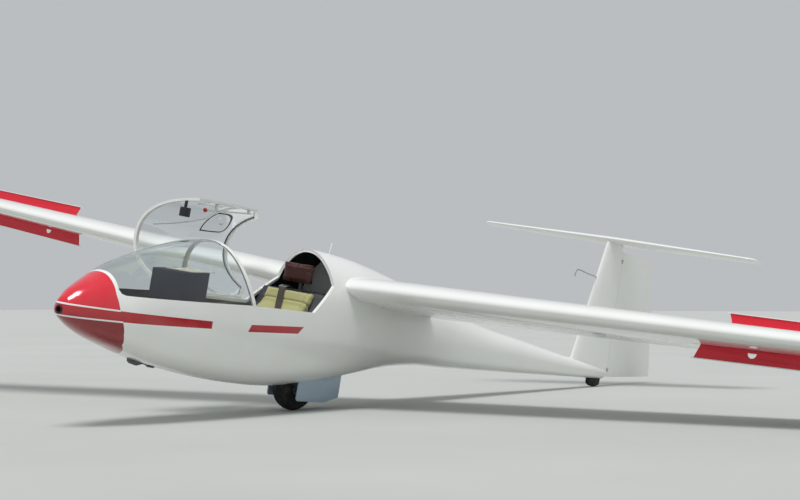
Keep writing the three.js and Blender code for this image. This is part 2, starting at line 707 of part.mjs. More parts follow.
function wingSolid() {
  const rings = [WING.firstRing, WING.twistFrom].map((y) => wingRing(y, 0, 1));
  TIP_RINGS.forEach(({ y, shrink, thin }) => rings.push(wingRing(y, shrink, thin)));
  let wing = solid(loft(rings)).subtract(bodyCutter);
  const front = (y) => aileronHinge(y).point[0] - aileronHinge(y).radius - RUN_GAP;
  const room = planPrism([
    [front(AILERON.inner), AILERON.inner], [4000, AILERON.inner],
    [4000, AILERON.outer], [front(AILERON.outer), AILERON.outer],
  ], -200, 1500);
  wing = wing.subtract(solid(room)).add(aileronFittings().lugs);
  return geometryOf(wing.subtract(brakeSlot(BRAKES.upper)).subtract(brakeSlot(BRAKES.lower)));
}

function aileronSolid() {
  const rings = [AILERON.inner + AILERON.endGap, AILERON.outer - AILERON.endGap].map(aileronRing);
  return geometryOf(solid(loft(rings)).subtract(aileronFittings().rooms));
}

function wingPieces() {
  const starboard = {
    wing: wingSolid(),
    aileron: aileronSolid(),
    brake_upper: brakeBlade(BRAKES.upper),
    brake_upper_cap: brakeCap(BRAKES.upper),
    brake_lower: brakeBlade(BRAKES.lower),
    brake_lower_cap: brakeCap(BRAKES.lower),
    tip_skid: tipSkid(),
  };
  const finish = {
    wing: whiteGel,
    aileron: whiteGel,
    brake_upper: redGel,
    brake_upper_cap: whiteGel,
    brake_lower: redGel,
    brake_lower_cap: whiteGel,
    tip_skid: steel,
  };
  return Object.entries(starboard).flatMap(([name, shape]) => [
    finish[name](`${name}_starboard`, shape),
    finish[name](`${name}_port`, mirrored(shape)),
  ]);
}

// Tail surfaces

function rudderAxis(z) {
  const t = (z - RUDDER.lowZ) / (RUDDER.highZ - RUDDER.lowZ);
  return {
    x: RUDDER.lowX + (RUDDER.highX - RUDDER.lowX) * t,
    nose: RUDDER.lowNose + (RUDDER.highNose - RUDDER.lowNose) * t,
  };
}

function rudderLugs() {
  const from = [RUDDER.lowX, 0, RUDDER.lowZ];
  const to = [RUDDER.highX, 0, RUDDER.highZ];
  const ahead = new THREE.Vector3(-1, 0, 0);
  const low = hingeFittings(from, to, [0.055], ahead, RUDDER.lowNose);
  const high = hingeFittings(from, to, [0.5, 0.93], ahead, RUDDER.lowNose);
  return {
    low: geometryOf(low.lugs), high: high.lugs, rooms: low.rooms.add(high.rooms),
  };
}

function rudder() {
  const ring = (z, tailX, tailZ) => {
    const { x, nose } = rudderAxis(z);
    const half = RUDDER_TRAIL.thick / 2;
    const points = [[tailX, -half, tailZ], [tailX, half, tailZ]];
    for (let deg = 90; deg <= 270; deg += 30) {
      points.push([x + nose * Math.cos(deg * DEG), nose * Math.sin(deg * DEG), z]);
    }
    return points;
  };
  const rings = [
    ring(RUDDER.lowZ, RUDDER_TRAIL.lowX, RUDDER_TRAIL.lowZ),
    ring(RUDDER.highZ, RUDDER_TRAIL.highX, RUDDER_TRAIL.highZ),
  ];
  return whiteGel('rudder', solid(loft(rings)).subtract(rudderLugs().rooms));
}

function finBlade(grow) {
  const ring = (z) => {
    const t = (z - FIN.lowZ) / (FIN.highZ - FIN.lowZ);
    const noseX = FIN.lowX + (FIN.highX - FIN.lowX) * t - grow;
    const half = FIN.lowHalf + (FIN.highHalf - FIN.lowHalf) * t + grow;
    const { x, nose } = rudderAxis(z);
    const tailX = x - nose - RUN_GAP;
    const side = (sign) => [0.02, 0.09, 0.22, 0.42, 0.68, 1].map((a) => [
      noseX + (tailX - noseX) * a, sign * (a < 1 ? half * Math.sqrt(1 - (1 - a) ** 2.6) : half), z,
    ]);
    return [[noseX, 0, z], ...side(1), ...side(-1).reverse()];
  };
  return solid(loft([ring(FIN.lowZ), ring(FIN.highZ)]));
}

function fin() {
  const trimmed = finBlade(0).subtract(bodyCutter).subtract(atIncidence(tailplaneBody(SEAT_GAP)));
  return whiteGel('fin', trimmed.add(rudderLugs().high));
}

function tailRing(y, grow, round = 0) {
  const t = Math.abs(y) / TAILPLANE.half;
  const nose = TAILPLANE.rootNose + (TAILPLANE.tipNose - TAILPLANE.rootNose) * t - grow + round;
  const chord = TAILPLANE.rootTail + (TAILPLANE.tipTail - TAILPLANE.rootTail) * t - nose + grow;
  const { upper, lower } = foil(TAILPLANE.thick, 0, 0.4, 0, 10);
  return [...upper.slice().reverse(), ...lower.slice(1)].map(([a, b]) => (
    [nose + a * chord, y, TAILPLANE.z + b * chord + Math.sign(b) * grow]
  ));
}

function tailplaneBody(grow) {
  const { half, tipRound } = TAILPLANE;
  const rings = [-1, 1].flatMap((side) => {
    const end = [[half, tipRound], [half - 12, tipRound * 0.4], [half - tipRound, 0]];
    return (side < 0 ? end : end.reverse()).map(([y, round]) => tailRing(side * y, grow, round));
  });
  return solid(loft(rings));
}

// Turned nose up about the elevator hinge
function atIncidence(body) {
  const { hingeX, z, incidence } = TAILPLANE;
  return body.translate([-hingeX, 0, -z]).rotate([0, incidence / DEG, 0]).translate([hingeX, 0, z]);
}

function elevatorNose(y) {
  const t = Math.abs(y) / TAILPLANE.half;
  const nose = TAILPLANE.rootNose + (TAILPLANE.tipNose - TAILPLANE.rootNose) * t;
  const chord = TAILPLANE.rootTail + (TAILPLANE.tipTail - TAILPLANE.rootTail) * t - nose;
  const { upper } = foil(TAILPLANE.thick, 0, 0.4, (TAILPLANE.hingeX - nose) / chord, 2);
  return upper[0][1] * chord;
}

function elevatorFittings() {
  const { half, hingeX, z, lugs } = TAILPLANE;
  const places = lugs.map((y) => (y + half) / (2 * half));
  const ahead = new THREE.Vector3(-1, 0, 0);
  return hingeFittings([hingeX, -half, z], [hingeX, half, z], places, ahead, elevatorNose(0));
}

function tailplane() {
  const { half, hingeX } = TAILPLANE;
  const room = planPrism([
    [hingeX - elevatorNose(0) - RUN_GAP, 0], [hingeX - elevatorNose(half) - RUN_GAP, -half - 50],
    [7000, -half - 50], [7000, half + 50], [hingeX - elevatorNose(half) - RUN_GAP, half + 50],
  ], 800, 1200);
  const fixed = tailplaneBody(0).subtract(solid(room)).add(elevatorFittings().lugs);
  return whiteGel('tailplane', atIncidence(fixed));
}

function elevator() {
  const { half, hingeX, z, notchHalf } = TAILPLANE;
  const ring = (y) => {
    const full = tailRing(y, 0).filter(([x]) => x > hingeX + 4);
    const split = full.length / 2;
    const nose = elevatorNose(y);
    const arc = [90, 120, 150, 180, 210, 240, 270].map((deg) => (
      [hingeX + nose * Math.cos(deg * DEG), y, z + nose * Math.sin(deg * DEG)]
    ));
    const pick = (list) => [list[0], list[list.length - 1]];
    const upper = pick(full.slice(0, split));
    const lower = pick(full.slice(split));
    return [...upper, ...arc, ...lower];
  };
  const panel = (from, to) => solid(loft([ring(from), ring(to)]));
  const tubeRadius = 11;
  const body = panel(-half + 12, -notchHalf).add(panel(notchHalf, half - 12))
    .add(solid(rod([hingeX, -notchHalf - 5, z], [hingeX, notchHalf + 5, z], tubeRadius)));
  return whiteGel('elevator', atIncidence(body.subtract(elevatorFittings().rooms)));
}

// Where the ground lies in the aircraft's frame

const GROUND = new THREE.Vector3(
  -Math.sin(PARK_PITCH),
  Math.cos(PARK_PITCH) * Math.sin(PARK_ROLL),
  Math.cos(PARK_PITCH) * Math.cos(PARK_ROLL),
);

// The lowest point of the tyre
function groundLevel() {
  const position = tyreRing().attributes.position;
  const point = new THREE.Vector3();
  const height = (_, i) => point.fromBufferAttribute(position, i).dot(GROUND);
  const heights = Array.from({ length: position.count }, height);
  return Math.min(...heights);
}

const GROUND_LEVEL = groundLevel();

function groundZ(x, y) {
  return (GROUND_LEVEL - GROUND.x * x - GROUND.y * y) / GROUND.z;
}

function skidShape(x, y, length, half, rootZ) {
  const low = groundZ(x, y - half);
  const profile = [
    [x - length / 2, rootZ], [x - length / 2 + 12, low + 22], [x - 30, low + 3], [x, low],
    [x + 30, low + 3.5], [x + length / 2 - 10, low + 20], [x + length / 2, rootZ],
  ];
  return solid(sidePrism(profile, y - half, y + half));
}

function tailSkid() {
  const shape = skidShape(TAIL_SKID.x, 0, TAIL_SKID.length, TAIL_SKID.half, -100);
  return piece('tail_skid', shape.subtract(bodyCutter), 0x2b2b2d, 0.7);
}

// The starboard one mirrors the port one, whose foot is on the ground
function tipSkid() {
  const { x, y, length, half } = TIP_SKID;
  const port = skidShape(x, -y, length, half, wingAt(y).z);
  const wing = solid(mirrored(loft([7000, 7425].map((at) => wingRing(at, -SEAT_GAP, 1.02)))));
  return mirrored(geometryOf(port.subtract(wing)));
}

// Wheel, fork and doors

function tyreRing() {
  const { half, rim, coreRadius, coreHalf } = WHEEL;
  const profile = [new THREE.Vector2(rim + SEAT_GAP, 42)];
  for (let deg = 60; deg >= -60; deg -= 20) {
    profile.push(new THREE.Vector2(coreRadius + coreHalf * Math.cos(deg * DEG), half * Math.sin(deg * DEG)));
  }
  profile.splice(1, 0, new THREE.Vector2(coreRadius - 18, half * 0.97));
  profile.push(new THREE.Vector2(coreRadius - 18, -half * 0.97), new THREE.Vector2(rim + SEAT_GAP, -42));
  profile.push(profile[0].clone());
  const ring = new THREE.LatheGeometry(profile.reverse(), 48);
  ring.translate(WHEEL.x, 0, WHEEL.z);
  return orient(ring);
}

function tyre() {
  return piece('tyre', tyreRing(), 0x1c1c1d, 0.85);
}

function orient(geometry) {
  const bare = geometry.clone();
  bare.deleteAttribute('normal');
  bare.deleteAttribute('uv');
  const merged = mergeVertices(bare, 1e-3);
  return signedVolume(merged) < 0 ? flipped(merged) : merged;
}

function hub() {
  const profile = [
    [WHEEL.axle + SEAT_GAP, 46], [34, 46], [40, 24], [62, 20], [WHEEL.rim, 44], [WHEEL.rim, -44], [62, -20],
    [40, -24], [34, -46], [WHEEL.axle + SEAT_GAP, -46], [WHEEL.axle + SEAT_GAP, 46],
  ].map(([r, y]) => new THREE.Vector2(r, y));
  const ring = new THREE.LatheGeometry(profile, 32);
  ring.translate(WHEEL.x, 0, WHEEL.z);
  return piece('wheel_hub', orient(ring), 0xb9bcbf, 0.35, 0.8);
}

function axle() {
  const end = FORK.armY + FORK.armThick + 10;
  return steel('wheel_axle', rod([WHEEL.x, -end, WHEEL.z], [WHEEL.x, end, WHEEL.z], WHEEL.axle, 20));
}

function fork() {
  const { armY, armThick, pivotX, pivotZ, pivotRadius } = FORK;
  const reach = BAY.half - SEAT_GAP;
  let shape = solid(rod([pivotX, -reach, pivotZ], [pivotX, reach, pivotZ], pivotRadius, 20));
  const arm = [
    [WHEEL.x - 26, WHEEL.z - 8], [WHEEL.x + 8, WHEEL.z - 26], [pivotX + 14, pivotZ - 20],
    [pivotX - 4, pivotZ + 22], [WHEEL.x - 18, WHEEL.z + 22],
  ];
  [-armY - armThick, armY].forEach((y) => {
    shape = shape.add(solid(sidePrism(arm, y, y + armThick)));
  });
  const bore = rod([WHEEL.x, -200, WHEEL.z], [WHEEL.x, 200, WHEEL.z], WHEEL.axle + SEAT_GAP, 20);
  return steel('gear_fork', shape.subtract(solid(bore)));
}

function gearDoor() {
  const panel = sidePrism([
    [DOOR.x0, -150], [DOOR.x0, DOOR.bottom + 14], [DOOR.x0 + 14, DOOR.bottom], [DOOR.x1 - 140, DOOR.bottom],
    [DOOR.x1, DOOR.aftBottom], [DOOR.x1, -150],
  ], DOOR.y, DOOR.y + DOOR.thick);
  return geometryOf(solid(panel).subtract(bodyCutter));
}

function runningGear() {
  const door = gearDoor();
  const doorPaint = (name, shape) => piece(name, shape, 0xb9c7d2, 0.35);
  return [
    tyre(), hub(), axle(), fork(), bayLiner(), tailSkid(),
    doorPaint('gear_door_starboard', door), doorPaint('gear_door_port', mirrored(door)),
  ];
}

// Cockpit furniture, trimmed to the inside of the shell

// Top line of the seat pan, seen from the side, from the floor up the back to the shelf behind
const PAN_LINE = [
  [1040, -262], [1340, -280], [1600, -215], [1690, -120], [1975, 150], [2010, 262], [2340, 262],
];
const PAN_WALL = 9;

// A raised panel on the flat shelf behind the seat
const SHELF = { x0: 2130, x1: 2325, half: 140, z: 266 };

function seatPan() {
  const under = PAN_LINE.map(([x, z]) => [x + (x < 2000 ? 5 : 0), z - PAN_WALL]).reverse();
  const pan = solid(sidePrism([...PAN_LINE, ...under].reverse(), -WIDE, WIDE)).intersect(fittingSpace);
  const railPath = solid(box(1900, 2040, -WIDE, WIDE, SILL_Z - RUN_GAP, HIGH))
    .subtract(bodySolid(NOSE_WALL_START, HOLLOW_END, -CANOPY_RAIL_DEPTH - RUN_GAP));
  const panel = solid(box(SHELF.x0, SHELF.x1, -SHELF.half, SHELF.half, 260, SHELF.z));
  return piece('seat_pan', pan.subtract(railPath).add(panel), 0x55585c, 0.7);
}

// All the space below the seat pan's top line
function underPan() {
  const lifted = PAN_LINE.map(([x, z]) => [x - SEAT_GAP, z + SEAT_GAP]);
  return solid(sidePrism([...lifted, [2340, -600], [1040, -600]].reverse(), -WIDE, WIDE));
}

function cushions() {
  const seat = [[1350, -290], [1600, -230], [1700, -140], [1630, -130], [1580, -140], [1370, -220]];
  const back = [[1690, -140], [1975, 120], [2008, 268], [1975, 276], [1930, 168], [1645, -95]];
  const seatShape = solid(sidePrism(seat, -180, 180)).subtract(underPan());
  const backShape = solid(sidePrism(back, -195, 195)).subtract(underPan())
    .subtract(solid(sidePrism(inset(seat, -SEAT_GAP), -200, 200)));
  return [
    piece('seat_cushion', seatShape, 0x8f8a5a, 0.9),
    piece('back_cushion', backShape, 0xd8d29c, 0.9),
  ];
}

function headrest() {
  const foot = solid(box(2050, 2100, -40, 40, 262.3, 268));
  const post = solid(rod([2075, 0, 262.3], [2075, 0, 345], 11)).add(foot);
  const pad = solid(box(2012, 2062, -115, 115, 315, 440));
  const arm = solid(box(2062.3, 2076, -10, 10, 335, 350));
  return [
    piece('headrest', pad, 0x5b2c22, 0.7),
    steel('headrest_post', post.add(arm)),
  ];
}

function instrumentPod() {
  const side = [
    [880, -330], [1034, -330], [1015, 60], [1045, 60], [1045, 305], [848, 288.1], [848, 60], [900, 60],
  ];
  const pod = solid(sidePrism(side, -138, 138)).intersect(fittingSpace);
  const sheet = [[905, 293.4], [1045, 305.4], [1100, 307.5], [1100, 312.5], [905, 298.4]];
  const cover = sidePrism(sheet, -128, 90);
  const panel = box(1045.4, 1051, -120, 120, 105, 292);
  return [
    piece('instrument_pod', pod, 0x1b2433, 0.55),
    piece('pod_cover', cover, 0xe9e4d2, 0.8),
    piece('instrument_panel', panel, 0x1a1a1c, 0.5),
  ];
}

function controls() {
  const floorZ = -278;
  const grip = solid(rod([1302, 0, 0], [1288, 0, 105], 16));
  const stick = solid(rod([1330, 0, floorZ], [1300, 0, 20], 9)).add(grip);
  const pedal = (y) => solid(box(520, 532, y - 40, y + 40, -140, -40))
    .add(solid(rod([526, y, -130], [526, y, -235], 8)));
  const shaft = solid(rod([526, -150, -180], [526, 150, -180], 9));
  const bracket = solid(box(1330, 1350, -330, -262, 50, 70));
  const lever = solid(rod([1260, -262, 60], [1420, -262, 60], 8)).add(bracket);
  return [
    piece('control_stick', stick.subtract(underPan()), 0x1d1d1f, 0.6),
    steel('rudder_pedals', pedal(-95).add(pedal(95)).add(shaft).intersect(fittingSpace)),
    piece('brake_lever', lever.intersect(fittingSpace), 0x2a4f9a, 0.5),
  ];
}

// Small outside fittings

function outsideFittings() {
  const { radius, lip, lipDepth } = VENT;
  const section = [[radius + 1, 0], [lip, 0], [lip - 2, lipDepth], [radius + 1, lipDepth], [radius + 1, 0]];
  const ring = new THREE.LatheGeometry(section.map(([r, y]) => new THREE.Vector2(r, y)), 24);
  ring.rotateZ(Math.PI / 2);
  ring.translate(NOSE_TIP - SEAT_GAP, 0, VENT.z);
  const bend = [[5868, 0, 688], [5700, 0, 705], [5560, 0, 722], [5530, 0, 714], [5517, 0, 664]];
  const probe = solid(tube(bend, 5, 3, 12));
  const antenna = solid(rod([2318, 0, 528], [2330, 0, 600], 4, 8));
  const hook = solid(sidePrism([
    [625, -235], [630, -264], [645, -275], [690, -285], [714, -279], [735, -274], [785, -280], [800, -291],
    [838, -293], [850, -276], [850, -235],
  ], -14, 14));
  return [
    piece('vent_ring', orient(ring), 0x202022, 0.5),
    steel('total_energy_probe', probe.subtract(finBlade(SEAT_GAP))),
    piece('antenna', antenna.subtract(bodyCutter), 0xe8e8e6, 0.4),
    piece('tow_hook', hook.subtract(bodyCutter), 0x2c2c2e, 0.5, 0.6),
  ];
}

function aircraft() {
  const group = new THREE.Group();
  group.add(noseCap(), fuselageShell(), tailBoom(), windshieldArch(), windshieldGlass(), canopy());
  group.add(...wingPieces(), fin(), rudder(), tailplane(), elevator());
  group.add(...runningGear(), seatPan(), ...cushions(), ...headrest(), ...instrumentPod());
  group.add(...controls(), ...outsideFittings());
  return group;
}

// Turned as it parks, its nose towards +X, and set down with the middle of its footprint at the origin
function parked() {
  const group = aircraft();
  group.rotation.order = 'YXZ';
  group.rotation.x = PARK_ROLL;
  group.rotation.y = PARK_PITCH;
  group.updateMatrixWorld(true);
  const bounds = new THREE.Box3().setFromObject(group, true);
  const middle = bounds.getCenter(new THREE.Vector3());
  group.position.set(-middle.x, -middle.y, -bounds.min.z);
  const heading = new THREE.Group();
  heading.rotation.z = HEADING;
  heading.add(group);
  const root = new THREE.Group();
  root.add(heading);
  return root;
}

export default parked();
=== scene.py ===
"""A single-seat T-tail sailplane, parked with one wing tip down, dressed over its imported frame."""

import math

import bpy
from mathutils import Euler, Matrix, Vector


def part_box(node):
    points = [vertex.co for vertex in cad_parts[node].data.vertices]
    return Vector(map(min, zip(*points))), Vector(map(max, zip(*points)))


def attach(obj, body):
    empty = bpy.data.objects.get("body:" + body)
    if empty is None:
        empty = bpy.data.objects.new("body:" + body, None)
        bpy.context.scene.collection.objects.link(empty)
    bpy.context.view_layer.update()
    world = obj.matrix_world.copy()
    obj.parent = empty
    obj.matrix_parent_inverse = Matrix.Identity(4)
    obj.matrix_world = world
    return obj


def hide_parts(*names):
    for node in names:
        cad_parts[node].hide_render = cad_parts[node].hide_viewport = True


bl_info = {
    "name": "Parked Sailplane",
    "version": (1, 0, 0),
    "blender": (4, 5, 0),
    "location": "View3D > Sidebar > Sailplane",
    "description": "Models and finishes each piece of a parked T-tail sailplane",
    "category": "Object",
}

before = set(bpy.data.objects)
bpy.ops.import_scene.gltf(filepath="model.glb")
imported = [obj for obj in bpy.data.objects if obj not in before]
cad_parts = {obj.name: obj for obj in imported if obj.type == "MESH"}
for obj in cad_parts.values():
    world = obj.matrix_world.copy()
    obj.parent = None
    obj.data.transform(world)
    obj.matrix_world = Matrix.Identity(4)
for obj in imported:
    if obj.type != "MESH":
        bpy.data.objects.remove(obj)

MM = 0.001
SEAT_GAP = 0.0003
RUN_GAP = 0.006

# The aircraft's own frame: x aft from the nose, y to starboard, z up. It is turned to the way it parks.
PARK_TURN = Euler((math.radians(8.37), math.radians(4.3), math.pi))
AXLE_CENTRE = Vector((2.175, 0, -0.332))


def parked_place():
    low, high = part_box("wheel_axle")
    origin = (Vector(low) + Vector(high)) / 2 - PARK_TURN.to_matrix() @ AXLE_CENTRE
    return Matrix.LocRotScale(origin, PARK_TURN, None)


PARKED = parked_place()
HERE = Matrix.Identity(4)
CANOPY_PIN = Vector((0, 0.302, 0.143))
CANOPY_OPEN = math.radians(88)
OPENED = PARKED @ Matrix.Translation(CANOPY_PIN) @ Matrix.Rotation(-CANOPY_OPEN, 4, "X") @ \
    Matrix.Translation(-CANOPY_PIN)

# Fuselage in mm: station, bottom, top, half width, height of the widest point, roundness
BODY_ROWS = [
    (30, -28, 20, 24, -5, 2.0), (36, -38, 40, 38, -5, 2.0), (48, -48, 66, 60, -4, 2.0),
    (70, -62, 88, 77, -4, 2.0), (105, -82, 121, 102, -3, 2.05), (160, -109, 157, 131, -2, 2.1),
    (230, -137, 198, 164, -1, 2.15), (320, -165, 249, 200, 0, 2.2), (420, -191, 299, 236, 0, 2.25),
    (650, -252, 386, 268, 0, 2.3), (950, -302, 473, 293, 0, 2.35), (1250, -336, 511, 304, 0, 2.35),
    (1500, -352, 530, 306, 0, 2.3), (1800, -357, 541, 306, 0, 2.15), (2100, -335, 540, 301, 5, 2.05),
    (2300, -308, 531, 296, 10, 2.05), (2600, -255, 500, 283, 25, 2.05), (3000, -188, 432, 252, 45, 2.0),
    (3400, -154, 350, 215, 50, 2.0), (3800, -155, 264, 180, 35, 2.0), (4200, -153, 182, 150, 12, 2.0),
    (4850, -150, 105, 117, -24, 2.0), (5650, -144, 10, 78, -66, 2.0), (6240, -140, -30, 52, -85, 2.0),
]
BODY_SIDES = 120
# Spacing of the skin's rings: the station up to which each holds, and the spacing
BODY_STEPS = [(0.05, 0.003), (0.2, 0.01), (2.5, 0.022), (math.inf, 0.05)]
NOSE_TIP = 0.030
BODY_END = 6.188
SHELL_WALL = 0.012
NOSE_WALL_START = 0.072
HOLLOW_END = 2.400
CAP_EDGE = [
    (296, 400), (283, 200), (284, 120), (305, 36), (330, -26), (366, -100), (414, -160), (492, -207),
    (700, -290),
]
VENT = {"z": -0.004, "radius": 0.017, "depth": 0.070, "lip": 0.027}

# Cockpit opening and canopy, seen from the side, in mm
SILL_Z = 152
GLAZING_FRONT = [(318, 700), (303, 200), (301, 150), (313, 129), (338, 121), (1290, SILL_Z)]
SILL_END = (1892, SILL_Z)
RIM_KINK = (2118, 330)
RIM_TOP = (2084, 700)
CANOPY_TAIL = (2103, 318)
ARCH_FOOT_X = 1310
ARCH_LEAN = 0.444
ARCH_WIDTH = 30
CANOPY_RAIL = 24
RAIL_DEPTH = 0.016
RIM_WIDTH = 20
RIM_DEPTH = 0.010
HIGH = 700
CANOPY_FRONT = 1.0
CANOPY_KNUCKLES = [1.450, 1.800]
KNUCKLE = {"long": 0.022, "room": 0.028, "radius": 0.009, "room_radius": 0.015}

# Offsets of the glazing's two faces from the fuselage form
GLASS_OUTER = -0.001
GLASS_INNER = -0.005

# Sliding window and its rail, seen from above
WINDOW = [
    (1.775, -0.214), (1.800, -0.224), (1.860, -0.226), (1.915, -0.216), (1.955, -0.196), (1.985, -0.168),
    (2.000, -0.138), (1.995, -0.112), (1.970, -0.096), (1.930, -0.090), (1.800, -0.086), (1.775, -0.096),
]
WINDOW_SEAL = 0.007
WINDOW_RAIL = [(1.330, -0.080), (1.500, -0.104), (1.640, -0.136), (1.775, -0.182)]
RAIL_HALF = 0.004

BAY = {"x0": 1.970, "x1": 2.520, "half": 0.112, "bottom": -0.6, "top": -0.095, "wall": 0.010}

WING = {
    "span": 7.500, "root_chord": 1.080, "tip_chord": 0.520, "root_thick": 0.163, "tip_thick": 0.125,
    "camber": 0.03, "camber_at": 0.45, "nose_x": 2.246, "nose_z": 0.328, "sweep": -0.006, "dihedral": 0.046,
    "incidence": 0.126, "twist_from": 4.200, "tip_twist": 0.063,
}
AILERON = {"inner": 4.450, "outer": 7.250, "hinge": 0.79, "end_gap": 0.010}
AILERON_LUGS = [4.700, 5.850, 7.000]
# Rings that round the wing tip off: distance from the root, how far the edges draw in, thickness
WING_TIP = [
    (7.425, 0, 1), (7.445, 0.005, 0.94), (7.46, 0.011, 0.87), (7.475, 0.019, 0.78), (7.487, 0.03, 0.65),
    (7.495, 0.043, 0.5), (7.5, 0.06, 0.35),
]
BRAKES = {
    "upper": {"x": 2.645, "inner": 2.714, "outer": 3.966, "side": 1},
    "lower": {"x": 2.588, "inner": 2.564, "outer": 3.816, "side": -1},
}
BRAKE_CAP_OVER = 0.014
BRAKE_END_SLANT = 0.036
BRAKE_NOTCH = {"from_inner": 0.357, "height": 0.020, "radius": 0.029}
BRAKE_TRAVEL = 0.086
BRAKE_CAP = 0.004
BRAKE_BEADS = (0.022, 0.052)
BRAKE_LEGS = (0.12, 0.5)

RUDDER_LOW = Vector((6.236, 0, -0.117))
RUDDER_HIGH = Vector((6.205, 0, 0.925))
RUDDER_NOSE = (0.042, 0.033)
RUDDER_TRAIL = ((7.050, -0.088), (6.795, 0.905))
FIN = {
    "low_x": 5.640, "low_z": -0.060, "high_x": 5.966, "high_z": 1.010, "low_half": 0.052, "high_half": 0.040,
}
TAILPLANE = {
    "half": 1.268, "z": 1.000, "hinge_x": 6.205, "incidence": 0.08, "root_nose": 5.952, "root_tail": 6.425,
    "tip_nose": 6.012, "tip_tail": 6.272, "tip_round": 0.045, "thick": 0.118, "notch_half": 0.055,
}
TAIL_LUGS = [-0.960, -0.420, 0.420, 0.960]
RUDDER_LUGS = [0.055, 0.5, 0.93]
LUG = {"half": 0.015, "radius": 0.006, "web_half": 0.008, "web_reach": 0.018, "web_thick": 0.004}
LUG_ROOM = {"half": 0.0156, "behind": 0.011, "ahead": 0.2, "deep": 0.09}

# Wheel, as radius and distance from its middle plane
TYRE = {"rim": 0.0763, "half": 0.067, "core": 0.125, "crown": 0.050, "groove": 0.0035}
TYRE_GROOVES = (12, 13, 20, 27, 28)
HUB_PROFILE = [
    (0.0103, 0.046), (0.030, 0.046), (0.034, 0.043), (0.040, 0.024), (0.058, 0.020), (0.066, 0.026),
    (0.070, 0.041), (0.0758, 0.044),
]
HUB_HOLES = {"count": 5, "out": 0.050, "radius": 0.0075}

# Shoulder strap, from the shelf behind the seat down to the seat pan
STRAP_PATH = [
    (2.110, 0.080, 0.274), (2.060, 0.072, 0.276), (2.005, 0.060, 0.286), (1.955, 0.046, 0.268),
    (1.905, 0.014, 0.180), (1.835, -0.036, 0.098), (1.740, -0.085, 0.012), (1.660, -0.110, -0.068),
]
CUSHION = {"start": 0.975, "voxel": 0.006, "pressure": 4, "frames": 20}
STRAP_WIDTH = 0.050
STRAP_ADJUSTER = (1.978, 0.053, 0.2815)

# Instruments: place across and up the panel, and radius; then the faces of each layer along x
DIALS = [
    (-0.075, 0.245, 0.040), (0.012, 0.245, 0.040), (0.090, 0.250, 0.031), (-0.080, 0.160, 0.031),
    (-0.008, 0.160, 0.031), (0.064, 0.160, 0.031),
]
BEZEL = {"back": 1.0508, "front": 1.0570, "well": 1.0540, "edge": 0.004}
DIAL_CARD = (1.0538, 1.0546)
DIAL_HAND = (1.0548, 1.0556)

# Side stripes: an edge is z as slope and level along x; an end is x as slope and level up from the foot
FRONT_STRIPE = {"top": (0.0030, 0.0331), "bottom": (0.0284, -0.0354), "end": 0.965}
REAR_STRIPE = {"foot": (0.0383, -0.0539), "tall": 0.0435, "front": (0.55, 1.278), "rear": (1.15, 1.748)}

# A wave texture's bands lie this far apart at a scale of 1
WAVE_PITCH = 0.31


def linear(code):
    """An sRGB hex colour as linear RGBA."""
    parts = [int(code[i:i + 2], 16) / 255 for i in (1, 3, 5)]
    return tuple(c / 12.92 if c <= 0.04045 else ((c + 0.055) / 1.055) ** 2.4 for c in parts) + (1.0,)


class SailplaneSettings(bpy.types.PropertyGroup):
    gelcoat_white: bpy.props.FloatVectorProperty(
        name="White gelcoat", description="Colour of the wings, tail and fuselage", subtype="COLOR", size=4,
        min=0, max=1, default=linear("#F1F2EE"))
    nose_red: bpy.props.FloatVectorProperty(
        name="Nose red", description="Colour of the nose cap and airbrakes", subtype="COLOR", size=4,
        min=0, max=1, default=linear("#DE1730"))
    stripe_red: bpy.props.FloatVectorProperty(
        name="Stripe red", description="Colour of the side stripes", subtype="COLOR", size=4,
        min=0, max=1, default=linear("#B3051E"))
    cushion_cream: bpy.props.FloatVectorProperty(
        name="Cushion fabric", description="Colour of the seat and back cushions", subtype="COLOR", size=4,
        min=0, max=1, default=linear("#BFBD86"))
    pinstripe: bpy.props.FloatProperty(
        name="Pinstripe width", description="Width of the white lines round the nose", subtype="DISTANCE",
        unit="LENGTH", default=0.009, min=0.002, max=0.03)
    weave: bpy.props.FloatProperty(
        name="Cushion weave", description="Distance between the cushion fabric's ribs", subtype="DISTANCE",
        unit="LENGTH", default=0.004, min=0.001, max=0.02)
    floor_size: bpy.props.FloatProperty(
        name="Floor size", description="Width of the studio floor", subtype="DISTANCE", unit="LENGTH",
        default=240.0, min=20.0, max=1000.0)
    camera_lens: bpy.props.FloatProperty(
        name="Lens", description="Focal length on a 36 mm wide sensor, in millimetres", default=78.76,
        min=10, max=400)


def settings():
    return bpy.context.scene.sailplane


# Modelling helpers


def nothing_selected():
    if bpy.context.object and bpy.context.object.mode != "OBJECT":
        bpy.ops.object.mode_set(mode="OBJECT")
    bpy.ops.object.select_all(action="DESELECT")


def only(*pieces):
    nothing_selected()
    for piece in pieces:
        piece.select_set(True)
    bpy.context.view_layer.objects.active = pieces[0]


def edit(piece, *steps):
    """Runs each step in edit mode with the whole mesh selected."""
    only(piece)
    bpy.ops.object.mode_set(mode="EDIT")
    for step in steps:
        bpy.ops.mesh.select_all(action="SELECT")
        step()
    bpy.ops.object.mode_set(mode="OBJECT")


def closed_up():
    bpy.ops.mesh.remove_doubles(threshold=1e-6)
    bpy.ops.mesh.select_all(action="SELECT")
    bpy.ops.mesh.fill_holes(sides=0)
    bpy.ops.mesh.select_all(action="SELECT")
    bpy.ops.mesh.normals_make_consistent(inside=False)


def new_piece(name):
    piece = bpy.context.object
    piece.name = piece.data.name = name
    return piece


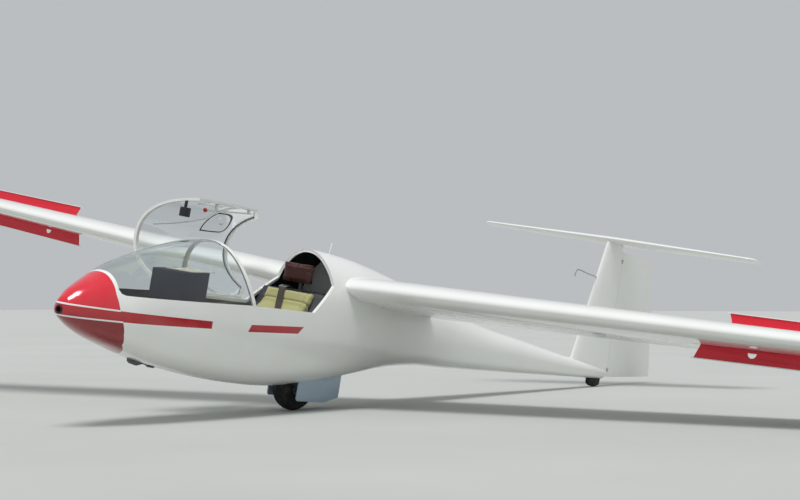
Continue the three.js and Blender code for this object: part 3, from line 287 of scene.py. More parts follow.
def lofted(name, rings):
    """A closed skin through rings of points, each with the same count: a grid wrapped round them."""
    nothing_selected()
    around, along = len(rings[0]), len(rings)
    bpy.ops.mesh.primitive_grid_add(x_subdivisions=around, y_subdivisions=along - 1, size=1)
    piece = new_piece(name)
    points = [c for ring in rings for p in (*ring, ring[0]) for c in p]
    piece.data.vertices.foreach_set("co", points)
    edit(piece, closed_up)
    return piece


def block(name, x0, x1, y0, y1, z0, z1, bevel=0.0):
    """A box between two corners, with its edges rounded."""
    nothing_selected()
    bpy.ops.mesh.primitive_cube_add(size=1, location=((x0 + x1) / 2, (y0 + y1) / 2, (z0 + z1) / 2))
    piece = new_piece(name)
    piece.scale = (x1 - x0, y1 - y0, z1 - z0)
    bpy.ops.object.transform_apply(location=True, rotation=False, scale=True)
    if bevel:
        edit(piece, lambda: bpy.ops.mesh.bevel(offset=bevel, segments=2, affect="EDGES"))
    return piece


def rod(name, a, b, radius, vertices=32, bevel=0.0):
    a, b = Vector(a), Vector(b)
    nothing_selected()
    turn = (b - a).to_track_quat("Z", "Y").to_euler()
    bpy.ops.mesh.primitive_cylinder_add(
        vertices=vertices, radius=radius, depth=(b - a).length, location=(a + b) / 2, rotation=turn)
    piece = new_piece(name)
    bpy.ops.object.transform_apply(location=True, rotation=True, scale=True)
    if bevel:
        soften(piece, bevel, 2)
    return piece


def plate(name, points, axis, start, end):
    """A flat outline of points drawn across an axis and extruded along it from start to end."""
    nothing_selected()
    bpy.ops.mesh.primitive_circle_add(vertices=len(points), fill_type="NGON")
    piece = new_piece(name)
    k = "xyz".index(axis)
    piece.data.vertices.foreach_set("co", [c for p in points for c in (*p[:k], start, *p[k:])])
    shift = [0.0, 0.0, 0.0]
    shift[k] = end - start
    edit(
        piece,
        lambda: bpy.ops.mesh.extrude_region_move(TRANSFORM_OT_translate={"value": shift}),
        lambda: bpy.ops.mesh.normals_make_consistent(inside=False),
    )
    return piece


def side_plate(name, points):
    """A cutter from a side view outline in mm."""
    return plate(name, [(x * MM, z * MM) for x, z in points], "y", -0.5, 0.5)


def twin(piece, name):
    copy = piece.copy()
    copy.data = piece.data.copy()
    copy.name = copy.data.name = name
    bpy.context.collection.objects.link(copy)
    return copy


def carved(piece, tool, operation="DIFFERENCE"):
    """The piece with the tool cut away, kept or joined. The tool is used up."""
    only(piece)
    modifier = piece.modifiers.new("carve", "BOOLEAN")
    modifier.operation = operation
    modifier.solver = "MANIFOLD"
    modifier.object = tool
    bpy.ops.object.modifier_apply(modifier=modifier.name)
    bpy.data.objects.remove(tool)
    if not piece.data.polygons:
        raise RuntimeError(f"{piece.name} has nothing left after a cut")
    return piece


def removed(*pieces):
    for piece in pieces:
        bpy.data.objects.remove(piece)


def joined(pieces, name):
    only(*pieces)
    bpy.ops.object.join()
    return new_piece(name)


def with_modifier(piece, kind, **values):
    only(piece)
    modifier = piece.modifiers.new(kind.lower(), kind)
    for key, value in values.items():
        setattr(modifier, key, value)
    bpy.ops.object.modifier_apply(modifier=modifier.name)
    return piece


def soften(piece, width, segments=2, angle=40):
    return with_modifier(piece, "BEVEL", width=width, segments=segments, limit_method="ANGLE",
                         angle_limit=math.radians(angle), harden_normals=False)


def mirrored(piece, name):
    copy = twin(piece, name)
    copy.data.transform(Matrix.Scale(-1, 4, (0, 1, 0)))
    edit(copy, lambda: bpy.ops.mesh.normals_make_consistent(inside=False))
    return copy


def lerp(a, b, t):
    return a + (b - a) * t


def inset(points, distance):
    """The outline, counter-clockwise, with each edge moved inwards."""
    edges = []
    for i, (a, b) in enumerate(points):
        c, d = points[(i + 1) % len(points)]
        length = math.hypot(c - a, d - b)
        along = ((c - a) / length, (d - b) / length)
        edges.append(((a - along[1] * distance, b + along[0] * distance), along))
    moved = []
    for i, (start, along) in enumerate(edges):
        before, heading = edges[i - 1]
        cross = heading[0] * along[1] - heading[1] * along[0]
        t = ((start[0] - before[0]) * along[1] - (start[1] - before[1]) * along[0]) / cross
        moved.append((before[0] + heading[0] * t, before[1] + heading[1] * t))
    return moved


def spline(a, b, c, d, steps):
    """Catmull-Rom points from b towards c."""
    for k in range(steps):
        t = k / steps
        yield 0.5 * (2 * b + (c - a) * t + (2 * a - 5 * b + 4 * c - d) * t ** 2
                     + (3 * b - a - 3 * c + d) * t ** 3)


def smooth_path(points, steps):
    """A smooth line through the given points, from end to end."""
    last = len(points) - 1
    path = []
    for i in range(last):
        path += spline(points[max(i - 1, 0)], points[i], points[i + 1], points[min(i + 2, last)], steps)
    return [*path, points[-1]]


def smooth_loop(points, steps):
    """A smooth outline through the given points, all the way round."""
    path = []
    for i in range(len(points)):
        path += spline(*(points[(i + k) % len(points)] for k in (-1, 0, 1, 2)), steps)
    return path


def node_copy(name, node, bevel=0.0, segments=2):
    """A merged copy of a CAD node with softened edges, still in the row frame."""
    piece = twin(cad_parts[node], name)
    piece.parent = None
    edit(
        piece,
        lambda: bpy.ops.mesh.remove_doubles(threshold=2e-5),
        lambda: bpy.ops.mesh.dissolve_limited(angle_limit=math.radians(1)),
    )
    if bevel:
        soften(piece, bevel, segments, 30)
    return piece


def finished(piece, body, nodes, slot, look=None, place=PARKED, angle=35):
    """Sets a piece in its place in the row frame, with its finish, its body and what it stands for."""
    only(piece)
    piece.matrix_world = place @ piece.matrix_world
    bpy.ops.object.transform_apply(location=True, rotation=True, scale=True)
    bpy.ops.object.shade_smooth_by_angle(angle=math.radians(angle))
    piece.data.materials.clear()
    piece.data.materials.append(finish(look or slot))
    if nodes:
        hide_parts(*nodes)
    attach(piece, body)
    return piece


def softened(name, node, bevel, slot, look=None, body="airframe", segments=2, angle=35):
    """A piece in a CAD node's own shape and place, with its edges softened."""
    return finished(node_copy(name, node, bevel, segments), body, [node], slot, look, HERE, angle)


# Fuselage sections


def body_at(x):
    """Bottom, top, half width, height of the widest point and roundness at a station in mm."""
    rows = BODY_ROWS
    i = 0
    while i < len(rows) - 2 and x > rows[i + 1][0]:
        i += 1
    p, q = rows[i], rows[i + 1]
    before, after = rows[max(i - 1, 0)], rows[min(i + 2, len(rows) - 1)]
    width = q[0] - p[0]
    t = (x - p[0]) / width

    def blend(k):
        slope_p = (q[k] - before[k]) / (q[0] - before[0]) * width
        slope_q = (after[k] - p[k]) / (after[0] - p[0]) * width
        return ((2 * t ** 3 - 3 * t ** 2 + 1) * p[k] + (t ** 3 - 2 * t ** 2 + t) * slope_p
                + (-2 * t ** 3 + 3 * t ** 2) * q[k] + (t ** 3 - t ** 2) * slope_q)

    return [blend(k) for k in range(1, 6)]


def body_ring(x, grow):
    bottom, top, half, widest, power = body_at(x / MM)
    ring = []
    for k in range(BODY_SIDES):
        angle = (k + 0.5) / BODY_SIDES * 2 * math.pi
        across = math.copysign(abs(math.cos(angle)) ** (2 / power), math.cos(angle))
        rise = math.copysign(abs(math.sin(angle)) ** (2 / power), math.sin(angle))
        reach = top - widest if rise > 0 else widest - bottom
        ring.append((x, across * (half * MM + grow), widest * MM + rise * (reach * MM + grow)))
    return ring


def body_solid(name, x0, x1, grow):
    """The fuselage form between two stations, grown or shrunk by a distance."""
    stations = [x0]
    while stations[-1] < x1 - 0.001:
        step = next(size for end, size in BODY_STEPS if stations[-1] < end)
        stations.append(min(stations[-1] + step, x1))
    if stations[-1] - stations[-2] < 0.001:
        stations.pop(-2)
    return lofted(name, [body_ring(x, grow) for x in stations])


def layer(name, x0, x1, outer, inner, past=0.02):
    """A skin along the fuselage form between two offsets from it, open at both ends."""
    return carved(body_solid(name, x0, x1, outer), body_solid("inside", x0 - past, x1 + past, inner))


def arch_x(z):
    return ARCH_FOOT_X - ARCH_LEAN * (z - SILL_Z)


def opening_outline():
    return [*GLAZING_FRONT, SILL_END, RIM_KINK, RIM_TOP]


def canopy_outline():
    half = ARCH_WIDTH / 2
    return [(arch_x(SILL_Z) + half, SILL_Z), SILL_END, CANOPY_TAIL, RIM_TOP, (arch_x(HIGH) + half, HIGH)]


def cap_region(shift=0.0):
    """The nose ahead of the edge of its red cap, moved aft by a shift in mm."""
    edge = [(x + shift, z) for x, z in CAP_EDGE]
    return side_plate("cap_region", [*edge, (-100, -290), (-100, 400)])


def hollow():
    return body_solid("hollow", NOSE_WALL_START, HOLLOW_END, -SHELL_WALL)


def knuckle(x, side):
    """Half of a canopy hinge: an eye on the pin line and a web to what carries it."""
    reach = KNUCKLE["long"]
    start, end = (x - reach, x - SEAT_GAP) if side < 0 else (x + SEAT_GAP, x + reach)
    _, y, z = CANOPY_PIN
    eye = rod("knuckle", (start, y, z), (end, y, z), KNUCKLE["radius"])
    if side < 0:
        web = block("web", start, end, y - 0.012, y - 0.004, z - 0.020, z)
    else:
        web = block("web", start, end, y - 0.009, y, z, SILL_Z * MM + 0.011)
    return carved(eye, web, "UNION")


def knuckle_room(x, side):
    """The room that half of a hinge needs in what it turns against."""
    reach = KNUCKLE["room"]
    start, end = (x - reach, x + SEAT_GAP) if side < 0 else (x - SEAT_GAP, x + reach)
    _, y, z = CANOPY_PIN
    eye = rod("room", (start, y, z), (end, y, z), KNUCKLE["room_radius"])
    if side < 0:
        return eye
    sweep = block("sweep", start, end, y - 0.020, y + 0.040, z - 0.012, SILL_Z * MM + 0.001)
    return carved(eye, sweep, "UNION")


def bay_block(grow):
    half = BAY["half"] + grow
    return block("bay", BAY["x0"] - grow, BAY["x1"] + grow, -half, half, BAY["bottom"], BAY["top"] + grow)


def build_nose_cap():
    cap = body_solid("nose_cap_skin", NOSE_TIP, 0.8, 0)
    carved(cap, cap_region(), "INTERSECT")
    carved(cap, hollow())
    start, end = NOSE_TIP - 0.02, NOSE_TIP + VENT["depth"]
    carved(cap, rod("vent", (start, 0, VENT["z"]), (end, 0, VENT["z"]), VENT["radius"]))
    lined(finished(cap, "airframe", ["nose_cap"], "red_gelcoat"))


def build_fuselage_skin():
    skin = body_solid("fuselage_skin", NOSE_TIP, BODY_END, 0)
    carved(skin, cap_region(0.3))
    carved(skin, hollow())
    carved(skin, side_plate("opening", opening_outline()))
    carved(skin, bay_block(BAY["wall"] + SEAT_GAP))
    for x in CANOPY_KNUCKLES:
        carved(skin, knuckle_room(x, 1))
        carved(skin, knuckle(x, -1), "UNION")
    lugs, rooms = rudder_lugs()
    removed(rooms, *lugs[1:])
    carved(skin, lugs[0], "UNION")
    lined(finished(skin, "airframe", ["fuselage_shell", "tail_boom"], "white_gelcoat", "striped_gelcoat"))


def build_rim():
    """The turned-in edge round the cockpit opening, behind the windshield hoop."""
    rim = layer("cockpit_rim", CANOPY_FRONT, HOLLOW_END, -SHELL_WALL - SEAT_GAP, -SHELL_WALL - RIM_DEPTH)
    carved(rim, side_plate("outer", inset(canopy_outline(), -RIM_WIDTH)), "INTERSECT")
    carved(rim, side_plate("opening", opening_outline()))
    for x in CANOPY_KNUCKLES:
        carved(rim, knuckle_room(x, 1))
        carved(rim, knuckle_room(x, -1))
    soften(rim, 0.003, 2, 50)
    finished(rim, "airframe", [], "white_gelcoat", angle=60)


def lined(piece):
    """Gives the faces that look into the hollow body a near-black painted shade."""
    inward = PARKED.inverted()
    turn = inward.to_3x3()
    piece.data.materials.append(finish("cockpit_painted_shade"))
    for face in piece.data.polygons:
        centre, normal = inward @ face.center, turn @ face.normal
        middle = body_at(centre.x / MM)[3] * MM
        out = Vector((0, centre.y, centre.z - middle)).normalized()
        if normal.dot(out) < -0.3 and centre.x < HOLLOW_END + 0.01:
            face.material_index = 1


def build_arch():
    half = ARCH_WIDTH / 2
    ring = layer("windshield_hoop", 0.9, 1.5, 0, -0.014)
    foot, head = arch_x(SILL_Z), arch_x(HIGH)
    slab = side_plate("slab", [
        (foot - half, SILL_Z + 0.3), (foot + half, SILL_Z + 0.3), (head + half, HIGH), (head - half, HIGH)])
    carved(ring, slab, "INTERSECT")
    soften(ring, 0.003, 2, 50)
    finished(ring, "airframe", ["windshield_arch"], "white_gelcoat", angle=60)


def glass_skin(name):
    return layer(name, NOSE_WALL_START + 0.1, HOLLOW_END - 0.1, GLASS_OUTER, GLASS_INNER, 0.05)


def build_windshield():
    edge = arch_x(SILL_Z) - ARCH_WIDTH / 2
    region = inset([*GLAZING_FRONT[:-1], (edge, SILL_Z), (arch_x(HIGH) - ARCH_WIDTH / 2, HIGH)], 0.3)
    glass = carved(glass_skin("windshield"), side_plate("region", region), "INTERSECT")
    finished(glass, "airframe", ["windshield_glass"], "acrylic_glazing")


# Canopy, modelled closed and set down open


def build_canopy_frame():
    rails = layer("canopy_rails", CANOPY_FRONT, HOLLOW_END, 0, -RAIL_DEPTH)
    carved(rails, side_plate("outer", inset(canopy_outline(), RUN_GAP / MM)), "INTERSECT")
    carved(rails, side_plate("inner", inset(canopy_outline(), RUN_GAP / MM + CANOPY_RAIL)))
    for x in CANOPY_KNUCKLES:
        carved(rails, knuckle_room(x, -1))
        carved(rails, knuckle(x, 1), "UNION")
    soften(rails, 0.0025, 2, 50)
    finished(rails, "canopy", ["canopy_frame"], "white_gelcoat", place=OPENED, angle=60)


def build_canopy_glass():
    region = side_plate("region", inset(canopy_outline(), RUN_GAP / MM + CANOPY_RAIL + 0.3))
    glass = carved(glass_skin("canopy_glazing"), region, "INTERSECT")
    finished(glass, "canopy", ["canopy_glass"], "acrylic_glazing", place=OPENED)


def on_glazing(name, outline, over=0.0009):
    """A thin skin over both faces of the glazing, inside an outline drawn from above."""
    skin = layer(name, 1.2, 2.2, GLASS_OUTER + over, GLASS_INNER - over)
    return carved(skin, plate("region", outline, "z", 0.2, 0.7), "INTERSECT")


def build_canopy_window():
    """The sliding window's seal and knob, and the rail it runs on."""
    outer = [tuple(p) for p in smooth_loop([Vector(p) for p in WINDOW], 4)]
    seal = on_glazing("window_seal", outer)
    carved(seal, plate("inner", inset(outer, WINDOW_SEAL), "z", 0.2, 0.7))
    finished(seal, "canopy", [], "black_plastic", place=OPENED)
    path = smooth_path([Vector(p) for p in WINDOW_RAIL], 6)
    edge = [(x, y + RAIL_HALF) for x, y in path]
    other = [(x, y - RAIL_HALF) for x, y in reversed(path)]
    finished(on_glazing("window_rail", other + edge), "canopy", [], "white_plastic", place=OPENED)
    knob = rod("window_knob", (1.890, -0.158, 0.452), (1.890, -0.150, 0.440), 0.011, 32, 0.003)
    finished(knob, "canopy", [], "white_plastic", place=OPENED)


def build_canopy_seal():
    """The dark rubber line between the canopy's rails and its glazing."""
    edge = RUN_GAP / MM + CANOPY_RAIL
    seal = layer("glazing_seal", CANOPY_FRONT, HOLLOW_END, 0.0004, -0.0062)
    carved(seal, side_plate("outer", inset(canopy_outline(), edge - 1)), "INTERSECT")
    carved(seal, side_plate("inner", inset(canopy_outline(), edge + 6)))
    finished(seal, "canopy", [], "black_plastic", "grey_rubber", OPENED)


def build_canopy_fittings():
    softened("canopy_handle_moulding", "canopy_handle", 0.0035, "black_plastic", None, "canopy", 3)
    softened("canopy_lock_bar", "canopy_lock_rod", 0.0008, "steel_fittings", "painted_bar", "canopy")
    low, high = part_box("canopy_lock_knob")
    centre = (Vector(low) + Vector(high)) / 2
    nothing_selected()
    bpy.ops.mesh.primitive_uv_sphere_add(segments=32, ring_count=20, radius=0.0138, location=centre)
    finished(new_piece("canopy_lock_ball"), "canopy", ["canopy_lock_knob"], "red_plastic", place=HERE)


# Wing sections


def foil(thick, camber, camber_at, start=0.0, steps=34):
    """Upper and lower skin of a wing section as parts of the chord, from the nose back."""
    upper, lower = [], []
    for i in range(steps):
        x = start + (1 - start) * (1 - math.cos(math.pi * i / (steps - 1))) / 2
        half = 5 * thick * (0.2969 * math.sqrt(x) - 0.126 * x - 0.3516 * x ** 2 + 0.2843 * x ** 3
                            - 0.1036 * x ** 4) + 0.0018 * x
        if x < camber_at:
            mean = camber / camber_at ** 2 * (2 * camber_at * x - x * x)
        else:
            mean = camber / (1 - camber_at) ** 2 * (1 - 2 * camber_at + 2 * camber_at * x - x * x)
        upper.append((x, mean + half))
        lower.append((x, mean - half))
    return upper, lower


def wing_at(y):
    """Chord and relative thickness of the wing at a distance from its middle."""
    t = y / WING["span"]
    return lerp(WING["root_chord"], WING["tip_chord"], t), lerp(WING["root_thick"], WING["tip_thick"], t)


def wing_point(y, along, up):
    outboard = max(0.0, y - WING["twist_from"]) / (WING["span"] - WING["twist_from"])
    angle = WING["incidence"] - WING["tip_twist"] * outboard
    c, s = math.cos(angle), math.sin(angle)
    x = WING["nose_x"] + WING["sweep"] * y
    z = WING["nose_z"] + math.tan(WING["dihedral"]) * y
    return (x + along * c + up * s, y, z - along * s + up * c)


def wing_ring(y, shrink=0.0, thin=1.0):
    chord, thick = wing_at(y)
    upper, lower = foil(thick * thin, WING["camber"], WING["camber_at"])
    scale = (chord - 1.5 * shrink) / chord
    return [wing_point(y, shrink + a * chord * scale, b * chord * scale) for a, b in upper[::-1] + lower[1:]]


def aileron_hinge(y):
    """Place along the chord, height, radius and point of the aileron's pin line."""
    chord, thick = wing_at(y)
    upper, lower = foil(thick, WING["camber"], WING["camber_at"], AILERON["hinge"], 2)
    up = (upper[0][1] + lower[0][1]) / 2 * chord
    radius = (upper[0][1] - lower[0][1]) / 2 * chord
    along = AILERON["hinge"] * chord
    return along, up, radius, Vector(wing_point(y, along, up))


def aileron_ring(y):
    chord, thick = wing_at(y)
    along, up, radius, _ = aileron_hinge(y)
    upper, lower = foil(thick, WING["camber"], WING["camber_at"], AILERON["hinge"], 9)
    turns = [math.radians(d) for d in range(255, 100, -15)]
    nose = [(along + radius * math.cos(turn), up + radius * math.sin(turn)) for turn in turns]
    skin = [(a * chord, b * chord) for a, b in upper + lower[::-1]]
    return [wing_point(y, a, b) for a, b in skin + nose]


def hinge_parts(start, end, places, nose):
    """Lugs that stay on the fixed part of a control surface's hinge, and the room cut for them."""
    axis = (end - start).normalized()
    ahead = Vector((-1, 0, 0))
    ahead = (ahead - axis * ahead.dot(axis)).normalized()
    turn = Matrix((axis, ahead, axis.cross(ahead))).transposed().to_4x4()
    half, web, thick = LUG["half"], LUG["web_half"], LUG["web_thick"]
    room_half, deep = LUG_ROOM["half"], LUG_ROOM["deep"]
    lugs, rooms = [], []
    for t in places:
        place = Matrix.Translation(start.lerp(end, t)) @ turn
        boss = rod("lug", (-half, 0, 0), (half, 0, 0), LUG["radius"], 24)
        carved(boss, block("web", -web, web, 0, nose + LUG["web_reach"], -thick, thick), "UNION")
        room = block("room", -room_half, room_half, -LUG_ROOM["behind"], LUG_ROOM["ahead"], -deep, deep)
        for piece in (boss, room):
            piece.data.transform(place)
        lugs.append(boss)
        rooms.append(room)
    return lugs, joined(rooms, "rooms")


def rudder_lugs():
    return hinge_parts(RUDDER_LOW, RUDDER_HIGH, RUDDER_LUGS, RUDDER_NOSE[0])


def aileron_parts():
    start, end = aileron_hinge(AILERON["inner"])[3], aileron_hinge(AILERON["outer"])[3]
    places = [(y - AILERON["inner"]) / (AILERON["outer"] - AILERON["inner"]) for y in AILERON_LUGS]
    return hinge_parts(start, end, places, aileron_hinge(AILERON["inner"])[2])


def brake_frame(brake):
    """A place on the skin: x along the chord, y along the blade, z out of the skin."""
    ends = []
    for y in (brake["inner"], brake["outer"]):
        chord, thick = wing_at(y)
        along = (brake["x"] - WING["nose_x"] - WING["sweep"] * y) / math.cos(WING["incidence"])
        upper, lower = foil(thick, WING["camber"], WING["camber_at"], along / chord, 2)
        ends.append(Vector(wing_point(y, along, (upper if brake["side"] > 0 else lower)[0][1] * chord)))
    span = (ends[1] - ends[0]).normalized()
    chordwise = Vector((math.cos(WING["incidence"]), 0, -math.sin(WING["incidence"])))
    normal = chordwise.cross(span).normalized() * brake["side"]
    across = span.cross(normal)
    centre = (ends[0] + ends[1]) / 2
    turn = Matrix((across, span, normal)).transposed().to_4x4()
    return Matrix.Translation(centre) @ turn, (brake["outer"] - brake["inner"]) / 2


def leg_starts(half):
    return [-half + 2 * half * place for place in BRAKE_LEGS]


def brake_slot(brake):
    matrix, half = brake_frame(brake)
    end, sunk = half + RUN_GAP, BRAKE_TRAVEL + 0.005
    slot = plate("slot", [(-end, -sunk - 0.006), (end, -sunk + 0.003), (end, 0.04), (-end, 0.04)], "x",
                 -0.009, 0.009)
    for start in leg_starts(half):
        deep = BRAKE_TRAVEL + 0.015
        carved(slot, block("leg", -0.009, 0.009, start - RUN_GAP, start + 0.036, -deep, 0), "UNION")
    recess = half + BRAKE_CAP_OVER + RUN_GAP
    carved(slot, block("recess", -0.017, 0.017, -recess, recess, -BRAKE_CAP - 0.002, 0.04), "UNION")
    slot.data.transform(matrix)
    return slot


def build_wing():
    spans = [0.12 + 0.18 * k for k in range(23)] + [4.2 + 0.155 * k for k in range(21)]
    rings = [wing_ring(y) for y in spans] + [wing_ring(*ring) for ring in WING_TIP]
    wing = lofted("wing_skin_starboard", rings)
    carved(wing, body_solid("root", 2.0, 3.6, SEAT_GAP))
    inner, outer = AILERON["inner"], AILERON["outer"]
    front = []
    for y in (inner, outer):
        _, _, radius, pin = aileron_hinge(y)
        front.append(pin.x - radius - RUN_GAP)
    room = [(front[0], inner), (4.0, inner), (4.0, outer), (front[1], outer)]
    carved(wing, plate("room", room, "z", -0.2, 1.5))
    lugs, rooms = aileron_parts()
    for lug in lugs:
        carved(wing, lug, "UNION")
    for brake in BRAKES.values():
        carved(wing, brake_slot(brake))
    port = mirrored(wing, "wing_skin_port")
    finished(wing, "airframe", ["wing_starboard"], "white_gelcoat")
    finished(port, "airframe", ["wing_port"], "white_gelcoat")
    inner, outer, count = inner + AILERON["end_gap"], outer - AILERON["end_gap"], 24
    aileron = lofted("aileron_skin_starboard", [
        aileron_ring(lerp(inner, outer, k / count)) for k in range(count + 1)])
    carved(aileron, rooms)
    other = mirrored(aileron, "aileron_skin_port")
    finished(aileron, "aileron_starboard", ["aileron_starboard"], "white_gelcoat")
    finished(other, "aileron_port", ["aileron_port"], "white_gelcoat")
    for side in ("starboard", "port"):
        softened(f"tip_runner_{side}", f"tip_skid_{side}", 0.002, "steel_fittings", "worn_steel")


def brake_blade(kind, brake):
    matrix, half = brake_frame(brake)
    top = BRAKE_TRAVEL - BRAKE_CAP - SEAT_GAP
    outline = [(-half + BRAKE_END_SLANT, -0.006), (half, 0.003), (half, top), (-half, top)]
    blade = plate("blade", outline, "x", -0.004, 0.004)
    for face in (-0.004, 0.004):
        for height in BRAKE_BEADS:
            carved(blade, block("bead", face - 0.0007, face + 0.0007, -half + 0.06, half - 0.02,
                                height - 0.0016, height + 0.0016))
    for start in leg_starts(half):
        carved(blade, block("leg", -0.0087, 0.0087, start, start + 0.03, -0.012, 0), "UNION")
    if kind == "lower":
        centre, low, radius = -half + BRAKE_NOTCH["from_inner"], BRAKE_NOTCH["height"], BRAKE_NOTCH["radius"]
        disc = rod("disc", (-0.02, centre, low), (0.02, centre, low), radius, 48)
        above = block("above", -0.02, 0.02, centre - radius, centre + radius, low, top)
        carved(disc, above, "INTERSECT")
        carved(blade, disc)
    cap_end = half + BRAKE_CAP_OVER
    cap = block("cap", -0.012, 0.012, -cap_end, cap_end, BRAKE_TRAVEL - BRAKE_CAP, BRAKE_TRAVEL, 0.0012)
    for piece in (blade, cap):
        piece.data.transform(matrix)
    return blade, cap


def build_airbrakes():
    for kind, brake in BRAKES.items():
        blade, cap = brake_blade(kind, brake)
        blade.name, cap.name = f"brake_{kind}_blade_starboard", f"brake_{kind}_strip_starboard"
        port = mirrored(blade, f"brake_{kind}_blade_port"), mirrored(cap, f"brake_{kind}_strip_port")
        for one, strip, side in ((blade, cap, "starboard"), (*port, "port")):
            body = f"brake_{kind}_{side}"
            finished(one, body, [body], "red_enamel")
            finished(strip, body, [f"brake_{kind}_cap_{side}"], "white_gelcoat")


# Tail


def rudder_axis(z):
    """Where the rudder's pin line is at a height, and the radius of its nose there."""
    t = (z - RUDDER_LOW.z) / (RUDDER_HIGH.z - RUDDER_LOW.z)
    return lerp(RUDDER_LOW.x, RUDDER_HIGH.x, t), lerp(*RUDDER_NOSE, t)


def fin_ring(t):
    z = lerp(FIN["low_z"], FIN["high_z"], t)
    nose_x = lerp(FIN["low_x"], FIN["high_x"], t)
    half = lerp(FIN["low_half"], FIN["high_half"], t)
    x, nose = rudder_axis(z)
    tail_x = x - nose - RUN_GAP
    steps = [(k / 20) ** 2 for k in range(1, 21)]
    side = [(lerp(nose_x, tail_x, a), half * math.sqrt(1 - (1 - a) ** 2.6)) for a in steps]
    return [(nose_x, 0, z), *((x, y, z) for x, y in side), *((x, -y, z) for x, y in side[::-1])]


def build_fin():
    fin = lofted("fin_skin", [fin_ring(k / 24) for k in range(25)])
    carved(fin, body_solid("foot", 5.3, BODY_END, SEAT_GAP))
    carved(fin, at_incidence(tailplane_solid(SEAT_GAP)))
    lugs, rooms = rudder_lugs()
    removed(rooms, lugs[0])
    for lug in lugs[1:]:
        carved(fin, lug, "UNION")
    finished(fin, "airframe", ["fin"], "white_gelcoat")


def rudder_ring(t):
    z = lerp(RUDDER_LOW.z, RUDDER_HIGH.z, t)
    x, nose = rudder_axis(z)
    (low_x, low_z), (high_x, high_z) = RUDDER_TRAIL
    tail_x, tail_z = lerp(low_x, high_x, t), lerp(low_z, high_z, t)

    def flank(side):
        """From the nose's widest point to the trailing edge, with a slight belly."""
        points = []
        for k in range(1, 9):
            a = k / 8
            y = lerp(nose, 0.0025, a) + 0.004 * math.sin(math.pi * a)
            points.append((lerp(x, tail_x, a), side * y, lerp(z, tail_z, a)))
        return points

    turns = [math.radians(d) for d in range(90, 271, 10)]
    arc = [(x + nose * math.cos(turn), nose * math.sin(turn), z) for turn in turns]
    return [*arc, *flank(-1), *flank(1)[::-1]]


def build_rudder():
    rudder = lofted("rudder_skin", [rudder_ring(k / 24) for k in range(25)])
    lugs, rooms = rudder_lugs()
    removed(*lugs)
    carved(rudder, rooms)
    finished(rudder, "rudder", ["rudder"], "white_gelcoat")


def tail_section(y):
    """Nose station and chord of the tailplane at a distance from its middle."""
    t = abs(y) / TAILPLANE["half"]
    nose = lerp(TAILPLANE["root_nose"], TAILPLANE["tip_nose"], t)
    return nose, lerp(TAILPLANE["root_tail"], TAILPLANE["tip_tail"], t) - nose


def tail_foil(start, steps):
    """The tailplane's symmetrical section, as parts of the chord."""
    return foil(TAILPLANE["thick"], 0, 0.4, start, steps)


def tail_ring(y, grow=0.0, shrink=0.0):
    nose, chord = tail_section(y)
    nose += shrink - grow
    chord += 2 * grow - shrink
    upper, lower = tail_foil(0, 28)
    return [(nose + a * chord, y, TAILPLANE["z"] + b * chord + math.copysign(grow, b) * (a > 0))
            for a, b in upper[::-1] + lower[1:]]


def tailplane_solid(grow=0.0):
    half, tip = TAILPLANE["half"], TAILPLANE["tip_round"]
    spans = [(half - tip) * k / 12 for k in range(-12, 13)]
    rings = [tail_ring(y, grow) for y in spans]
    for inboard, part in ((0.035, 0.06), (0.024, 0.16), (0.012, 0.4), (0.005, 0.66), (0, 1.0)):
        rings.append(tail_ring(half - inboard, grow, tip * part))
        rings.insert(0, tail_ring(inboard - half, grow, tip * part))
    return lofted("tailplane_body", rings)


def at_incidence(piece):
    pin = Vector((TAILPLANE["hinge_x"], 0, TAILPLANE["z"]))
    turn = Matrix.Rotation(TAILPLANE["incidence"], 4, "Y")
    piece.data.transform(Matrix.Translation(pin) @ turn @ Matrix.Translation(-pin))
    return piece


def elevator_nose(y):
    """Radius of the elevator's nose: half the section's thickness at the pin line."""
    nose, chord = tail_section(y)
    upper, _ = tail_foil((TAILPLANE["hinge_x"] - nose) / chord, 2)
    return upper[0][1] * chord


def elevator_parts():
    half, x, z = TAILPLANE["half"], TAILPLANE["hinge_x"], TAILPLANE["z"]
    places = [(y + half) / (2 * half) for y in TAIL_LUGS]
    return hinge_parts(Vector((x, -half, z)), Vector((x, half, z)), places, elevator_nose(0))


def elevator_panel(y0, y1):
    x, z = TAILPLANE["hinge_x"], TAILPLANE["z"]
    turns = [math.radians(d) for d in range(95, 266, 10)]
    rings = []
    for k in range(13):
        y = lerp(y0, y1, k / 12)
        nose, chord = tail_section(y)
        upper, lower = tail_foil((x + 0.004 - nose) / chord, 9)
        radius = elevator_nose(y)
        arc = [(x + radius * math.cos(turn), y, z + radius * math.sin(turn)) for turn in turns]
        skin = [(nose + a * chord, y, z + b * chord) for a, b in upper[::-1]]
        under = [(nose + a * chord, y, z + b * chord) for a, b in lower]
        rings.append([*skin, *arc, *under])
    return lofted("elevator_panel", rings)


